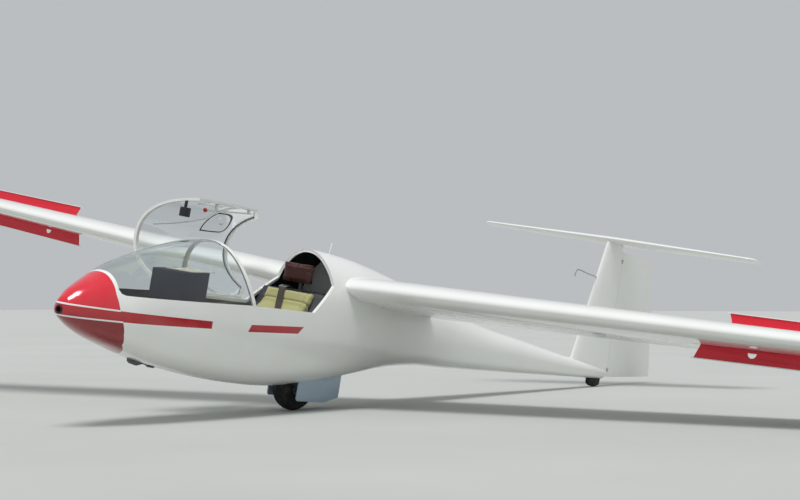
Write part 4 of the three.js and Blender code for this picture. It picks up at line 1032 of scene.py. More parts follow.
def build_tailplane():
    half, x = TAILPLANE["half"], TAILPLANE["hinge_x"]
    fixed = tailplane_solid()
    inner, outer = x - elevator_nose(0) - RUN_GAP, x - elevator_nose(half) - RUN_GAP
    past = half + 0.05
    room = [(inner, 0), (outer, -past), (7.0, -past), (7.0, past), (outer, past)]
    carved(fixed, plate("room", room, "z", 0.8, 1.2))
    lugs, rooms = elevator_parts()
    for lug in lugs:
        carved(fixed, lug, "UNION")
    fixed.name = "tailplane_skin"
    finished(at_incidence(fixed), "airframe", ["tailplane"], "white_gelcoat")
    notch, end = TAILPLANE["notch_half"], half - 0.012
    elevator = elevator_panel(-end, -notch)
    carved(elevator, elevator_panel(notch, end), "UNION")
    tube = rod("tube", (x, -notch - 0.005, TAILPLANE["z"]), (x, notch + 0.005, TAILPLANE["z"]), 0.011)
    carved(elevator, tube, "UNION")
    carved(elevator, rooms)
    elevator.name = "elevator_skin"
    finished(at_incidence(elevator), "elevator", ["elevator"], "white_gelcoat")


# Running gear


def spun(name, profile, steps=96):
    """A closed profile of (radius, y) spun round the wheel's axle."""
    nothing_selected()
    bpy.ops.mesh.primitive_circle_add(vertices=len(profile), fill_type="NOTHING")
    piece = new_piece(name)
    points = [c for r, y in profile for c in (AXLE_CENTRE.x + r, y, AXLE_CENTRE.z)]
    piece.data.vertices.foreach_set("co", points)
    edit(
        piece,
        lambda: bpy.ops.mesh.spin(steps=steps, angle=2 * math.pi, center=AXLE_CENTRE, axis=(0, 1, 0)),
        lambda: bpy.ops.mesh.remove_doubles(threshold=1e-6),
        lambda: bpy.ops.mesh.normals_make_consistent(inside=False),
    )
    return piece


def build_wheel():
    rim, half, core = TYRE["rim"], TYRE["half"], TYRE["core"]
    bead = [(rim, 0.042), (rim + 0.006, 0.050), (0.090, 0.061), (core - 0.018, half * 0.97)]
    crown = []
    for k in range(41):
        angle = math.radians(60 - 3 * k)
        depth = TYRE["groove"] if k in TYRE_GROOVES else 0.0
        crown.append((core + (TYRE["crown"] - depth) * math.cos(angle), (half - depth) * math.sin(angle)))
    profile = bead + crown + [(r, -y) for r, y in bead[::-1]]
    finished(spun("tyre_casing", profile), "wheel", ["tyre"], "tyre_rubber", angle=50)
    hub = spun("hub_casting", HUB_PROFILE + [(r, -y) for r, y in HUB_PROFILE[::-1]])
    through = Vector((0, 0.1, 0))
    for k in range(HUB_HOLES["count"]):
        angle = 2 * math.pi * k / HUB_HOLES["count"]
        centre = AXLE_CENTRE + HUB_HOLES["out"] * Vector((math.cos(angle), 0, math.sin(angle)))
        carved(hub, rod("hole", centre - through, centre + through, HUB_HOLES["radius"], 20))
    finished(hub, "wheel", ["wheel_hub"], "cast_wheel", "cast_alloy")


def build_gear_fittings():
    softened("axle_bar", "wheel_axle", 0.0015, "steel_fittings", "worn_steel")
    softened("gear_fork_weldment", "gear_fork", 0.002, "steel_fittings", "painted_steel")
    softened("bay_liner_moulding", "wheel_bay_liner", 0.001, "bay_paint")
    softened("tail_skid_block", "tail_skid", 0.004, "skid_rubber", "tyre_rubber", segments=3)
    for side in ("starboard", "port"):
        softened(f"gear_door_panel_{side}", f"gear_door_{side}", 0.002, "door_paint")


# Cockpit


def cushion(name, node, cap):
    """A stuffed form inside its CAD solid: remeshed and blown up a little."""
    pad = node_copy(name, node)
    low, high = (Vector(corner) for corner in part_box(node))
    centre = (low + high) / 2
    part = (*[CUSHION["start"]] * 3, 1)
    pad.data.transform(Matrix.Translation(centre) @ Matrix.Diagonal(part) @ Matrix.Translation(-centre))
    with_modifier(pad, "REMESH", mode="VOXEL", voxel_size=CUSHION["voxel"])
    with_modifier(pad, "SMOOTH", factor=0.5, iterations=12)
    inflate(pad, cap)
    with_modifier(pad, "SUBSURF", levels=1, render_levels=1)
    return pad


def inflate(pad, cap):
    """Cloth under pressure, with how far each point may move capped."""
    before = [v.co.copy() for v in pad.data.vertices]
    only(pad)
    cloth = pad.modifiers.new("cloth", "CLOTH")
    cloth.settings.use_pressure = True
    cloth.settings.uniform_pressure_force = CUSHION["pressure"]
    cloth.settings.effector_weights.gravity = 0
    cloth.settings.quality = 4
    cloth.point_cache.frame_start = 1
    cloth.point_cache.frame_end = CUSHION["frames"]
    for step in range(1, CUSHION["frames"] + 1):
        bpy.context.scene.frame_set(step)
    only(pad)
    bpy.ops.object.modifier_apply(modifier=cloth.name)
    bpy.context.scene.frame_set(1)
    for vertex, start in zip(pad.data.vertices, before):
        move = vertex.co - start
        if move.length > cap:
            vertex.co = start + move.normalized() * cap


def webbing(name, points, width, across, thick):
    """A flat strap along points, its width along the across vector."""
    nothing_selected()
    across = Vector(across).normalized()
    path = smooth_path([Vector(p) for p in points], 10)
    bpy.ops.mesh.primitive_grid_add(x_subdivisions=6, y_subdivisions=len(path) - 1, size=1)
    strap = new_piece(name)
    flat = [c for point in path for k in range(7) for c in point + across * width * (k / 6 - 0.5)]
    strap.data.vertices.foreach_set("co", flat)
    with_modifier(strap, "SOLIDIFY", thickness=thick, offset=0)
    edit(strap, lambda: bpy.ops.mesh.normals_make_consistent(inside=False))
    return strap


def sewn(pad, start, end, places, depth=0.006, width=0.007):
    """Pulls channels into a pad across the line from start to end, in the aircraft's frame."""
    a, b = PARKED @ Vector(start), PARKED @ Vector(end)
    along = (b - a).normalized()
    length = (b - a).length
    outward = [vertex.normal.copy() for vertex in pad.data.vertices]
    for vertex, normal in zip(pad.data.vertices, outward):
        s = (vertex.co - a).dot(along) / length
        pull = sum(math.exp(-((s - place) * length / width) ** 2) for place in places)
        vertex.co -= normal * depth * pull


def build_seat():
    softened("seat_moulding", "seat_pan", 0.002, "seat_shell")
    across = (1.8, -0.195, 0), (1.8, 0.195, 0)
    seat = cushion("seat_pad", "seat_cushion", 0.010)
    finished(seat, "airframe", ["seat_cushion"], "cream_fabric", place=HERE, angle=60)
    sewn(seat, *across, (0.12, 0.88), 0.008, 0.006)
    back = cushion("back_pad", "back_cushion", 0.010)
    sewn(back, (1.667, 0, -0.117), (1.990, 0, 0.270), (0.22, 0.42, 0.62, 0.82))
    sewn(back, *across, (0.10, 0.90), 0.008, 0.006)
    finished(back, "airframe", ["back_cushion"], "cream_fabric", place=HERE, angle=60)
    head = cushion("headrest_pad", "headrest", 0.008)
    sewn(head, (2.037, 0, 0.315), (2.037, 0, 0.440), (0.12, 0.88), 0.004, 0.005)
    finished(head, "airframe", ["headrest"], "brown_leather", place=HERE, angle=60)
    softened("headrest_bracket", "headrest_post", 0.0015, "steel_fittings", "painted_steel")


def build_harness():
    strap = webbing("shoulder_strap", STRAP_PATH, STRAP_WIDTH, (0, 1, 0), 0.002)
    finished(strap, "airframe", [], "black_plastic", "dark_webbing")
    half = STRAP_WIDTH / 2
    buckle = block("strap_adjuster", -0.016, 0.016, -half - 0.006, half + 0.006, -0.003, 0.003, 0.0015)
    for start, end in ((-0.011, -0.003), (0.003, 0.011)):
        carved(buckle, block("slot", start, end, 0.002 - half, half - 0.002, -0.01, 0.01))
    lean = Matrix.Rotation(math.radians(-22), 4, "Y")
    buckle.data.transform(Matrix.Translation(STRAP_ADJUSTER) @ lean)
    finished(buckle, "airframe", [], "steel_fittings", "worn_steel")


def build_instruments():
    softened("instrument_pod_moulding", "instrument_pod", 0.008, "navy_cover", segments=4, angle=40)
    softened("pod_cover_panel", "pod_cover", 0.0015, "cream_cover")
    softened("instrument_face", "instrument_panel", 0.001, "black_plastic")
    rims, cards, hands = [], [], []
    for y, z, radius in DIALS:
        rims.append(rod("bezel", (BEZEL["back"], y, z), (BEZEL["front"], y, z), radius, 40, 0.0015))
        carved(rims[-1], rod("well", (BEZEL["well"], y, z), (1.06, y, z), radius - BEZEL["edge"], 40))
    finished(joined(rims, "instrument_bezels"), "airframe", [], "steel_fittings", "worn_steel")
    start, end = DIAL_CARD
    for y, z, radius in DIALS:
        cards.append(rod("card", (start, y, z), (end, y, z), radius - BEZEL["edge"] - 0.0002, 40))
    finished(joined(cards, "instrument_dials"), "airframe", [], "black_plastic", "dial_card")
    for number, (y, z, radius) in enumerate(DIALS):
        hand = block("hand", *DIAL_HAND, y - 0.0012, y + 0.0012, z - radius * 0.15, z + radius * 0.7)
        centre = Matrix.Translation((0, y, z))
        hand.data.transform(centre @ Matrix.Rotation(0.7 + 1.3 * number, 4, "X") @ centre.inverted())
        hands.append(hand)
    finished(joined(hands, "instrument_hands"), "airframe", [], "white_plastic")


def build_controls():
    softened("stick_moulding", "control_stick", 0.002, "black_plastic")
    softened("pedal_weldment", "rudder_pedals", 0.0015, "steel_fittings", "worn_steel")
    softened("brake_lever_tube", "brake_lever", 0.0015, "blue_plastic")


def build_fittings():
    softened("vent_bezel", "vent_ring", 0.001, "black_plastic")
    softened("energy_probe", "total_energy_probe", 0, "steel_fittings", "worn_steel")
    softened("antenna_rod", "antenna", 0.0008, "white_plastic")
    softened("tow_hook_block", "tow_hook", 0.002, "steel_fittings", "painted_steel")


# Materials


def feed(tree, node, inputs):
    """Sets a node's inputs: a number or colour is a value, a node or socket is linked."""
    for key, value in inputs.items():
        if isinstance(value, bpy.types.Node):
            value = value.outputs[0]
        if isinstance(value, bpy.types.NodeSocket):
            tree.links.new(value, node.inputs[key])
        else:
            node.inputs[key].default_value = value


def add(tree, kind, inputs, **values):
    """A new node of that kind with its settings and links."""
    node = tree.nodes.new(kind)
    for key, value in values.items():
        setattr(node, key, value)
    feed(tree, node, inputs)
    return node


def begun(name):
    """A new material with its tree, its shader and the position in the aircraft's own frame."""
    material = bpy.data.materials.new(name)
    material.use_nodes = True
    tree = material.node_tree
    turned = add(tree, "ShaderNodeMapping", {
        "Vector": add(tree, "ShaderNodeTexCoord", {}).outputs["Object"], "Location": PARKED.translation,
        "Rotation": PARK_TURN}, vector_type="TEXTURE")
    return material, tree, tree.nodes["Principled BSDF"], turned


def patches(tree, place, size, between, reach=(0.0, 1.0), detail=3.0, roughness=0.5):
    """Noise in patches about size mm wide, spread from between two of its values to the reach."""
    noise = add(tree, "ShaderNodeTexNoise", {
        "Vector": place, "Scale": 1 / (size * MM), "Detail": detail, "Roughness": roughness})
    return add(tree, "ShaderNodeMapRange", {
        "Value": noise, "From Min": between[0], "From Max": between[1],
        "To Min": reach[0], "To Max": reach[1]})


def grain(tree, place, size, depth, strength, detail):
    """Relief whose grains are about size mm wide and depth metres deep."""
    noise = add(tree, "ShaderNodeTexNoise", {"Vector": place, "Scale": 1 / (size * MM), "Detail": detail})
    return add(tree, "ShaderNodeBump", {"Height": noise, "Distance": depth, "Strength": strength})


def within(tree, value, low, high):
    """A mask: 1 where the value lies between low and high."""
    above = add(tree, "ShaderNodeMath", {0: value, 1: low}, operation="GREATER_THAN")
    under = add(tree, "ShaderNodeMath", {0: value, 1: high}, operation="LESS_THAN")
    return add(tree, "ShaderNodeMath", {0: above, 1: under}, operation="MULTIPLY")


def gelcoat(tree, shader, place, colour):
    """Polyester gelcoat, sprayed in a polished mould: hard gloss over long soft waves, with faint dust."""
    dust = patches(tree, place, 417, (0.45, 0.8), (0.0, 0.10), 5, 0.6)
    dusty = add(tree, "ShaderNodeMix", {0: dust, 6: colour, 7: linear("#B9B6A6")}, data_type="RGBA")
    feed(tree, shader, {
        "Base Color": dusty.outputs[2], "Roughness": patches(tree, place, 143, (0.3, 0.75), (0.10, 0.22), 4),
        "Normal": grain(tree, place, 303, 0.004, 0.04, 1.0),
        "IOR": 1.52, "Coat Weight": 0.5, "Coat Roughness": 0.05})


def white_gelcoat():
    material, tree, shader, place = begun("white_polyester_gelcoat")
    gelcoat(tree, shader, place, tuple(settings().gelcoat_white))
    return material


def stripe_masks(tree, place):
    """Masks of the side stripe's two lengths, with the height and the front length's two edges."""
    x, _, z = add(tree, "ShaderNodeSeparateXYZ", {"Vector": place}).outputs
    top, bottom, foot = (
        add(tree, "ShaderNodeMath", {0: x, 1: slope, 2: level}, operation="MULTIPLY_ADD")
        for slope, level in (FRONT_STRIPE["top"], FRONT_STRIPE["bottom"], REAR_STRIPE["foot"]))
    rise = add(tree, "ShaderNodeMath", {0: z, 1: foot}, operation="SUBTRACT")
    start, end = (
        add(tree, "ShaderNodeMath", {0: rise, 1: slope, 2: level}, operation="MULTIPLY_ADD")
        for slope, level in (REAR_STRIPE["front"], REAR_STRIPE["rear"]))
    ahead = add(tree, "ShaderNodeMath", {0: x, 1: FRONT_STRIPE["end"]}, operation="LESS_THAN")
    front = add(tree, "ShaderNodeMath", {0: within(tree, z, bottom, top), 1: ahead}, operation="MULTIPLY")
    tall = within(tree, rise, 0.0, REAR_STRIPE["tall"])
    rear = add(tree, "ShaderNodeMath", {0: tall, 1: within(tree, x, start, end)}, operation="MULTIPLY")
    return front, rear, z, top, bottom


def striped_gelcoat():
    """The same gelcoat with the stripes sprayed on before the polish, so their edges can't be felt."""
    material, tree, shader, place = begun("striped_polyester_gelcoat")
    front, rear, *_ = stripe_masks(tree, place)
    stripes = add(tree, "ShaderNodeMath", {0: front, 1: rear}, operation="MAXIMUM")
    colour = add(tree, "ShaderNodeMix", {
        0: stripes, 6: tuple(settings().gelcoat_white), 7: tuple(settings().stripe_red)}, data_type="RGBA")
    gelcoat(tree, shader, place, colour.outputs[2])
    return material


def red_gelcoat():
    """Red gelcoat: darker in the stripe's line, with a white line along each edge, and below the stripe a
    darker red that is painted shade.
    """
    material, tree, shader, place = begun("red_polyester_gelcoat")
    front, _, z, top, bottom = stripe_masks(tree, place)
    half = settings().pinstripe / 2
    edges = [
        within(tree, add(tree, "ShaderNodeMath", {0: z, 1: edge}, operation="SUBTRACT"), -half, half)
        for edge in (top, bottom)]
    lines = add(tree, "ShaderNodeMath", {0: edges[0], 1: edges[1]}, operation="MAXIMUM")
    # Below the stripe's lower edge the red turns darker: painted shade on the underside of the nose
    under = add(tree, "ShaderNodeMath", {0: z, 1: bottom}, operation="LESS_THAN")
    colour = tuple(settings().nose_red)
    for mask, other in ((front, tuple(settings().stripe_red)), (under, linear("#8E0A18")),
                        (lines, tuple(settings().gelcoat_white))):
        colour = add(tree, "ShaderNodeMix", {0: mask, 6: colour, 7: other}, data_type="RGBA").outputs[2]
    gelcoat(tree, shader, place, colour)
    return material


def red_enamel():
    """Enamel brushed on alloy sheet: streaks 17 mm wide along the blade, duller and darker with wear."""
    material, tree, shader, place = begun("red_enamel_on_alloy_sheet")
    streaks = add(tree, "ShaderNodeMapping", {"Vector": place, "Scale": (60, 1.2, 60)})
    wear = patches(tree, streaks, 1000, (0.5, 0.75), (0.0, 0.45), 4, 0.6)
    colour = add(tree, "ShaderNodeMix", {
        0: wear, 6: tuple(settings().nose_red), 7: linear("#A60D20")}, data_type="RGBA")
    feed(tree, shader, {
        "Base Color": colour.outputs[2], "Normal": grain(tree, streaks, 500, 0.001, 0.3, 3),
        "Roughness": add(tree, "ShaderNodeMapRange", {
            "Value": wear, "From Max": 0.45, "To Min": 0.3, "To Max": 0.5}),
        "Coat Weight": 0.2})
    return material


def acrylic_glazing():
    """Acrylic sheet blown to shape: clear, with a trace of haze and slow waves that bend reflections."""
    material, tree, shader, place = begun("blown_acrylic_sheet")
    feed(tree, shader, {
        "Base Color": linear("#F4F8F8"), "Transmission Weight": 1.0, "IOR": 1.49,
        "Roughness": patches(tree, place, 111, (0.4, 0.8), (0.0, 0.06), 5, 0.6),
        "Normal": grain(tree, place, 500, 0.002, 0.1, 1.0)})
    return material


# Even finishes: what each is, its colour, roughness and grain in mm. The real grains are under half a
# millimetre, too fine to show, so they are drawn at 1 to 3 mm.
PLAIN = {
    # Injection-moulded ABS: a satin skin with the fine spark grain of its mould
    "black_plastic": ("moulded_black_abs", "#141416", 0.42, 1.11),
    "red_plastic": ("moulded_red_abs", "#C4121F", 0.3, 1.11),
    "blue_plastic": ("moulded_blue_abs", "#1F4CA6", 0.35, 1.11),
    "white_plastic": ("moulded_white_abs", "#ECECE8", 0.35, 1.11),
    # Glass laminate with a brushed grey coat: dull, and slightly rough from the cloth under it
    "seat_shell": ("grey_laminate_with_paint", "#3C3F43", 0.6, 2.0),
    # Embossed vinyl: a soft sheen broken up by a leather-like grain
    "navy_cover": ("navy_grained_vinyl", "#0A1430", 0.6, 1.54),
    "cream_cover": ("cream_grained_vinyl", "#EDE9D6", 0.55, 2.0),
    # Matt near-black on the faces inside the hollow body: painted shade, so that the inside reads dark
    "cockpit_painted_shade": ("matt_black_painted_interior_shade", "#0E0F12", 0.75, 3.33),
    # Extruded seal rubber: dull, between grey and black from bloom on its surface
    "grey_rubber": ("dark_grey_seal_rubber", "#3A3E42", 0.7, 3.33),
    # Painted card in a dial's well: matt black, with no glare
    "dial_card": ("matt_black_dial_card", "#1B1D20", 0.5, 3.33),
    # Stoved enamel on steel bar: bright white with a smooth gloss
    "painted_bar": ("white_enamelled_steel", "#E6E6E2", 0.3, 3.33),
}


def plain(name, code, rough, size):
    """An even surface: the faintest blotches, an uneven gloss and an all-over grain."""
    material, tree, shader, place = begun(name)
    blotch = patches(tree, place, 33.3, (0.3, 0.7), (0.0, 0.04))
    colour = add(tree, "ShaderNodeMix", {0: blotch, 6: linear(code), 7: linear("#777777")}, data_type="RGBA")
    feed(tree, shader, {
        "Base Color": colour.outputs[2], "Normal": grain(tree, place, size, 0.0004, 0.5, 2),
        "Roughness": patches(tree, place, 16.7, (0.3, 0.7), (rough - 0.08, rough + 0.1))})
    return material


# Paints that dirt has got at: what each is, its colour, roughness and the colour of its dirt
PAINTED = {
    # Two-pack paint on the gear doors' laminate: pale blue and fairly glossy, with dirt in dull patches
    "door_paint": ("light_blue_door_paint", "#A9BCCB", 0.3, "#6D7470"),
    # Primer in the wheel bay: dull grey, stained with what the tyre throws up
    "bay_paint": ("grey_bay_paint", "#8F979B", 0.55, "#4A4638"),
    # Hammer paint on welded steel: dark grey, with oily dirt in its dimples
    "painted_steel": ("grey_hammer_painted_steel", "#4E5458", 0.4, "#2A2622"),
}


def painted(name, code, rough, dirty):
    """Brushed or sprayed paint with patches of dirt, which are duller than the paint."""
    material, tree, shader, place = begun(name)
    dirt = patches(tree, place, 90.9, (0.5, 0.8), (0.0, 0.45), 6, 0.65)
    colour = add(tree, "ShaderNodeMix", {0: dirt, 6: linear(code), 7: linear(dirty)}, data_type="RGBA")
    feed(tree, shader, {
        "Base Color": colour.outputs[2], "Normal": grain(tree, place, 25, 0.001, 0.3, 4),
        "Roughness": add(tree, "ShaderNodeMapRange", {
            "Value": dirt, "From Max": 0.45, "To Min": rough, "To Max": rough + 0.25})})
    return material


def worn_steel():
    """Bare machined steel, handled for years: bright, with hairline scratches, drawn 3 mm apart to show."""
    material, tree, shader, place = begun("bright_worn_steel")
    scratch = add(tree, "ShaderNodeMapping", {"Vector": place, "Scale": (8, 300, 300)})
    tone = patches(tree, scratch, 1000, (0.3, 0.7), detail=4)
    colour = add(tree, "ShaderNodeMix", {
        0: tone, 6: linear("#9B9EA1"), 7: linear("#C9CBCC")}, data_type="RGBA")
    feed(tree, shader, {
        "Base Color": colour.outputs[2], "Metallic": 1.0,
        "Roughness": add(tree, "ShaderNodeMapRange", {"Value": tone, "To Min": 0.25, "To Max": 0.45})})
    return material


def cast_alloy():
    """Sand-cast aluminium: pale, oxidised in patches, with the sand's grit left in its skin."""
    material, tree, shader, place = begun("sand_cast_aluminium")
    oxide = patches(tree, place, 40, (0.35, 0.75), detail=4)
    colour = add(tree, "ShaderNodeMix", {
        0: oxide, 6: linear("#B7BABC"), 7: linear("#77756E")}, data_type="RGBA")
    feed(tree, shader, {
        "Base Color": colour.outputs[2], "Metallic": 0.9, "Roughness": 0.45,
        "Normal": grain(tree, place, 1.43, 0.0006, 0.6, 3)})
    return material


def tyre_rubber():
    """Vulcanised rubber: near black and dull, with dry dust rubbed into it."""
    material, tree, shader, place = begun("vulcanised_tyre_rubber")
    dust = patches(tree, place, 55.6, (0.45, 0.8), (0.0, 0.5), 6, 0.6)
    colour = add(tree, "ShaderNodeMix", {
        0: dust, 6: linear("#17171A"), 7: linear("#57544A")}, data_type="RGBA")
    feed(tree, shader, {
        "Base Color": colour.outputs[2], "Roughness": 0.82,
        "Normal": grain(tree, place, 2.38, 0.0006, 0.6, 3)})
    return material


def cream_fabric():
    """Ribbed upholstery cloth: ribs and cross threads at the set spacing, dulled by use."""
    material, tree, shader, place = begun("ribbed_cotton_upholstery")
    scale = WAVE_PITCH / settings().weave
    rib = add(tree, "ShaderNodeTexWave", {
        "Vector": place, "Scale": scale, "Distortion": 1.2, "Detail": 2.0,
    }, bands_direction="Y").outputs["Fac"]
    cross = add(tree, "ShaderNodeTexWave", {
        "Vector": place, "Scale": scale, "Distortion": 1.0}, bands_direction="Z").outputs["Fac"]
    weave = add(tree, "ShaderNodeMath", {0: rib, 1: cross}, operation="MULTIPLY")
    worn = patches(tree, place, 167, (0.35, 0.8), (0.0, 0.4), 5, 0.6)
    gaps = add(tree, "ShaderNodeMapRange", {"Value": weave, "To Min": 0.25, "To Max": 0.0})
    colour = tuple(settings().cushion_cream)
    for mask, other in ((worn, "#A8A266"), (gaps, "#8D8850")):
        colour = add(tree, "ShaderNodeMix", {
            0: mask, 6: colour, 7: linear(other)}, data_type="RGBA").outputs[2]
    feed(tree, shader, {
        "Base Color": colour, "Roughness": 0.92, "Sheen Weight": 0.25, "Sheen Roughness": 0.5,
        "Normal": add(tree, "ShaderNodeBump", {"Height": weave, "Distance": 0.0012, "Strength": 0.7})})
    return material


def brown_leather():
    """Upholstery leather: a pebbled grain from cells 3 mm wide, with creases about 45 mm apart, in browns
    darkened to paint the shade that falls on the headrest.
    """
    material, tree, shader, place = begun("brown_grain_leather")
    cells = add(tree, "ShaderNodeTexVoronoi", {"Vector": place, "Scale": 1 / (3.125 * MM)})
    crease = add(tree, "ShaderNodeTexNoise", {
        "Vector": place, "Scale": 1 / (45.5 * MM), "Detail": 6, "Roughness": 0.7})
    tone = add(tree, "ShaderNodeMapRange", {
        "Value": crease, "From Min": 0.35, "From Max": 0.7, "To Max": 0.6})
    # Both browns are darker than the leather's own: painted shade, as the headrest sits in the fuselage's
    # shade
    colour = add(tree, "ShaderNodeMix", {
        0: tone, 6: linear("#431A12"), 7: linear("#2B100A")}, data_type="RGBA")
    height = add(tree, "ShaderNodeMath", {0: crease, 1: 2.0, 2: cells}, operation="MULTIPLY_ADD")
    feed(tree, shader, {
        "Base Color": colour.outputs[2],
        "Roughness": add(tree, "ShaderNodeMapRange", {
            "Value": cells, "From Max": 0.7, "To Min": 0.38, "To Max": 0.6}),
        "Normal": add(tree, "ShaderNodeBump", {"Height": height, "Distance": 0.0008, "Strength": 0.6})})
    return material


def dark_webbing():
    """Woven nylon belt: low ribs 2.8 mm apart, with a slight sheen from the threads."""
    material, tree, shader, place = begun("dark_brown_nylon_webbing")
    rib = add(tree, "ShaderNodeTexWave", {
        "Vector": place, "Scale": WAVE_PITCH / (2.82 * MM)}, bands_direction="Y").outputs["Fac"]
    colour = add(tree, "ShaderNodeMix", {
        0: rib, 6: linear("#241D17"), 7: linear("#43382B")}, data_type="RGBA")
    feed(tree, shader, {
        "Base Color": colour.outputs[2], "Roughness": 0.7, "Sheen Weight": 0.2,
        "Normal": add(tree, "ShaderNodeBump", {"Height": rib, "Distance": 0.0005, "Strength": 0.8})})
    return material


MAKERS = (
    white_gelcoat, striped_gelcoat, red_gelcoat, red_enamel, acrylic_glazing, worn_steel, cast_alloy,
    tyre_rubber, cream_fabric, brown_leather, dark_webbing,
)
MADE = {}


def finish(name):
    """The finish of that name, made once and shared."""
    if name not in MADE:
        if name in PLAIN:
            MADE[name] = plain(*PLAIN[name])
        elif name in PAINTED:
            MADE[name] = painted(*PAINTED[name])
        else:
            MADE[name] = next(maker for maker in MAKERS if maker.__name__ == name)()
    return MADE[name]


def studio_floor():
    """Matt floor paint: pale grey, with broad patches hardly apart in tone."""
    material = bpy.data.materials.new("pale_studio_floor")
    material.use_nodes = True
    tree = material.node_tree
    place = add(tree, "ShaderNodeTexCoord", {}).outputs["Object"]
    tone = patches(tree, place, 2000, (0.3, 0.7))
    colour = add(tree, "ShaderNodeMix", {
        0: tone, 6: linear("#B9BBB7"), 7: linear("#BFC1BD")}, data_type="RGBA")
    feed(tree, tree.nodes["Principled BSDF"], {"Base Color": colour.outputs[2], "Roughness": 0.9})
    return material


# Stage

CAMERA_OFFSET = Vector((6.719, 7.066, 0.030))
CAMERA_TURN = Euler((math.radians(91.72), 0, math.radians(125.3)))
KEY = {"from": (3, 1.5, 9), "power": 2.1, "angle": 24}
WORLD_STRENGTH = 0.60


def build_camera():
    data = bpy.data.cameras.new("camera")
    data.sensor_width = 36
    data.sensor_fit = "HORIZONTAL"
    data.lens = settings().camera_lens
    data.clip_end = 500
    camera = bpy.data.objects.new("camera", data)
    bpy.context.collection.objects.link(camera)
    camera.location = PARKED.translation + CAMERA_OFFSET
    camera.rotation_euler = CAMERA_TURN
    bpy.context.scene.camera = camera


def build_key_light():
    """A wide sun: even over the whole stage, with shadow edges as soft as its angle."""
    data = bpy.data.lights.new("key", "SUN")
    data.energy = KEY["power"]
    data.angle = math.radians(KEY["angle"])
    light = bpy.data.objects.new("key", data)
    bpy.context.collection.objects.link(light)
    light.location = KEY["from"]
    light.rotation_euler = (-light.location).to_track_quat("-Z", "Y").to_euler()


def build_stage():
    nothing_selected()
    size = settings().floor_size
    bpy.ops.mesh.primitive_grid_add(x_subdivisions=8, y_subdivisions=8, size=size, location=(0, 0, -0.001))
    floor = new_piece("studio_floor")
    floor.data.materials.append(studio_floor())
    world = bpy.data.worlds.new("studio")
    bpy.context.scene.world = world
    world.use_nodes = True
    background = world.node_tree.nodes["Background"].inputs
    background["Color"].default_value = linear("#EAEEF2")
    background["Strength"].default_value = WORLD_STRENGTH
    build_key_light()
    bpy.context.scene.view_settings.view_transform = "Standard"


# Operators


class SAILPLANE_OT_fuselage(bpy.types.Operator):
    """Nose cap, fuselage skin with its cockpit opening and wheel bay, and the windshield hoop"""
    bl_idname = "sailplane.fuselage"
    bl_label = "Fuselage"

    def execute(self, context):
        build_nose_cap()
        build_fuselage_skin()
        build_rim()
        build_arch()
        return {"FINISHED"}


class SAILPLANE_OT_glazing(bpy.types.Operator):
    """Fixed windshield, and the canopy with its frame, glazing, handle and lock"""
    bl_idname = "sailplane.glazing"
    bl_label = "Windshield and canopy"

    def execute(self, context):
        build_windshield()
        build_canopy_frame()
        build_canopy_glass()
        build_canopy_seal()
        build_canopy_window()
        build_canopy_fittings()
        return {"FINISHED"}


class SAILPLANE_OT_wings(bpy.types.Operator):
    """Wings, ailerons and wing tip runners"""
    bl_idname = "sailplane.wings"
    bl_label = "Wings"

    def execute(self, context):
        build_wing()
        return {"FINISHED"}


class SAILPLANE_OT_airbrakes(bpy.types.Operator):
    """Four airbrake blades, each with its cap strip"""
    bl_idname = "sailplane.airbrakes"
    bl_label = "Airbrakes"

    def execute(self, context):
        build_airbrakes()
        return {"FINISHED"}


class SAILPLANE_OT_tail(bpy.types.Operator):
    """Fin, rudder, tailplane and elevator"""
    bl_idname = "sailplane.tail"
    bl_label = "Tail"

    def execute(self, context):
        build_fin()
        build_rudder()
        build_tailplane()
        return {"FINISHED"}


class SAILPLANE_OT_running_gear(bpy.types.Operator):
    """Tyre, hub, axle, fork, bay liner, doors and tail skid"""
    bl_idname = "sailplane.running_gear"
    bl_label = "Running gear"

    def execute(self, context):
        build_wheel()
        build_gear_fittings()
        return {"FINISHED"}


class SAILPLANE_OT_seat(bpy.types.Operator):
    """Seat moulding, cushions, headrest and harness"""
    bl_idname = "sailplane.seat"
    bl_label = "Seat"

    def execute(self, context):
        build_seat()
        build_harness()
        return {"FINISHED"}


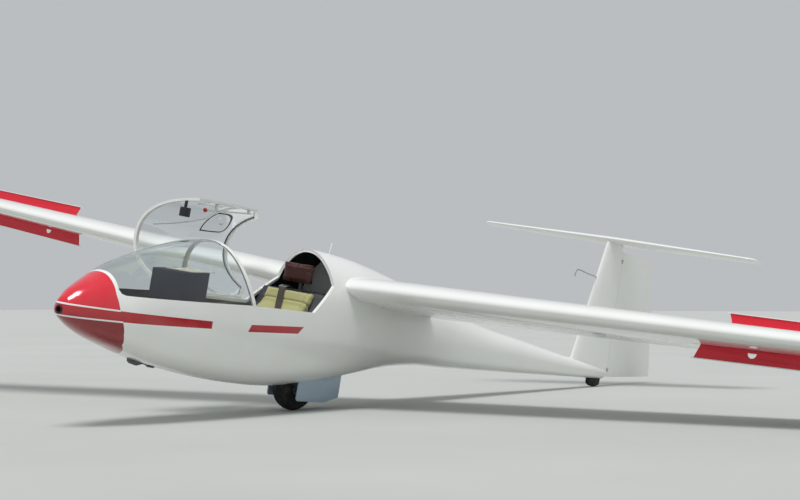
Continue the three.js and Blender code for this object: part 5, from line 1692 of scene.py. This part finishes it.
class SAILPLANE_OT_instruments(bpy.types.Operator):
    """Instrument pod, its cover and face, stick, pedals and lever"""
    bl_idname = "sailplane.instruments"
    bl_label = "Instruments and controls"

    def execute(self, context):
        build_instruments()
        build_controls()
        return {"FINISHED"}


class SAILPLANE_OT_fittings(bpy.types.Operator):
    """Vent bezel, energy probe, antenna and tow hook"""
    bl_idname = "sailplane.fittings"
    bl_label = "Outside fittings"

    def execute(self, context):
        build_fittings()
        return {"FINISHED"}


class SAILPLANE_OT_stage(bpy.types.Operator):
    """Camera, pale floor and soft studio light"""
    bl_idname = "sailplane.stage"
    bl_label = "Stage"

    def execute(self, context):
        build_camera()
        build_stage()
        return {"FINISHED"}


OPERATORS = [
    SAILPLANE_OT_stage, SAILPLANE_OT_fuselage, SAILPLANE_OT_glazing, SAILPLANE_OT_wings,
    SAILPLANE_OT_airbrakes, SAILPLANE_OT_tail, SAILPLANE_OT_running_gear, SAILPLANE_OT_seat,
    SAILPLANE_OT_instruments, SAILPLANE_OT_fittings,
]


class SAILPLANE_PT_panel(bpy.types.Panel):
    """Sizes, colours and pieces of the sailplane"""
    bl_idname = "SAILPLANE_PT_panel"
    bl_label = "Sailplane"
    bl_space_type = "VIEW_3D"
    bl_region_type = "UI"
    bl_category = "Sailplane"

    def draw(self, context):
        for name in SailplaneSettings.__annotations__:
            self.layout.prop(context.scene.sailplane, name)
        for operator in OPERATORS:
            self.layout.operator(operator.bl_idname)


def register():
    for kind in (SailplaneSettings, *OPERATORS, SAILPLANE_PT_panel):
        bpy.utils.register_class(kind)
    bpy.types.Scene.sailplane = bpy.props.PointerProperty(type=SailplaneSettings)


def unregister():
    del bpy.types.Scene.sailplane
    for kind in (SAILPLANE_PT_panel, *reversed(OPERATORS), SailplaneSettings):
        bpy.utils.unregister_class(kind)


def main():
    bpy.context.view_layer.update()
    register()
    nothing_selected()
    for operator in OPERATORS:
        group, name = operator.bl_idname.split(".")
        getattr(getattr(bpy.ops, group), name)()
    nothing_selected()


if __name__ == "__main__":
    main()
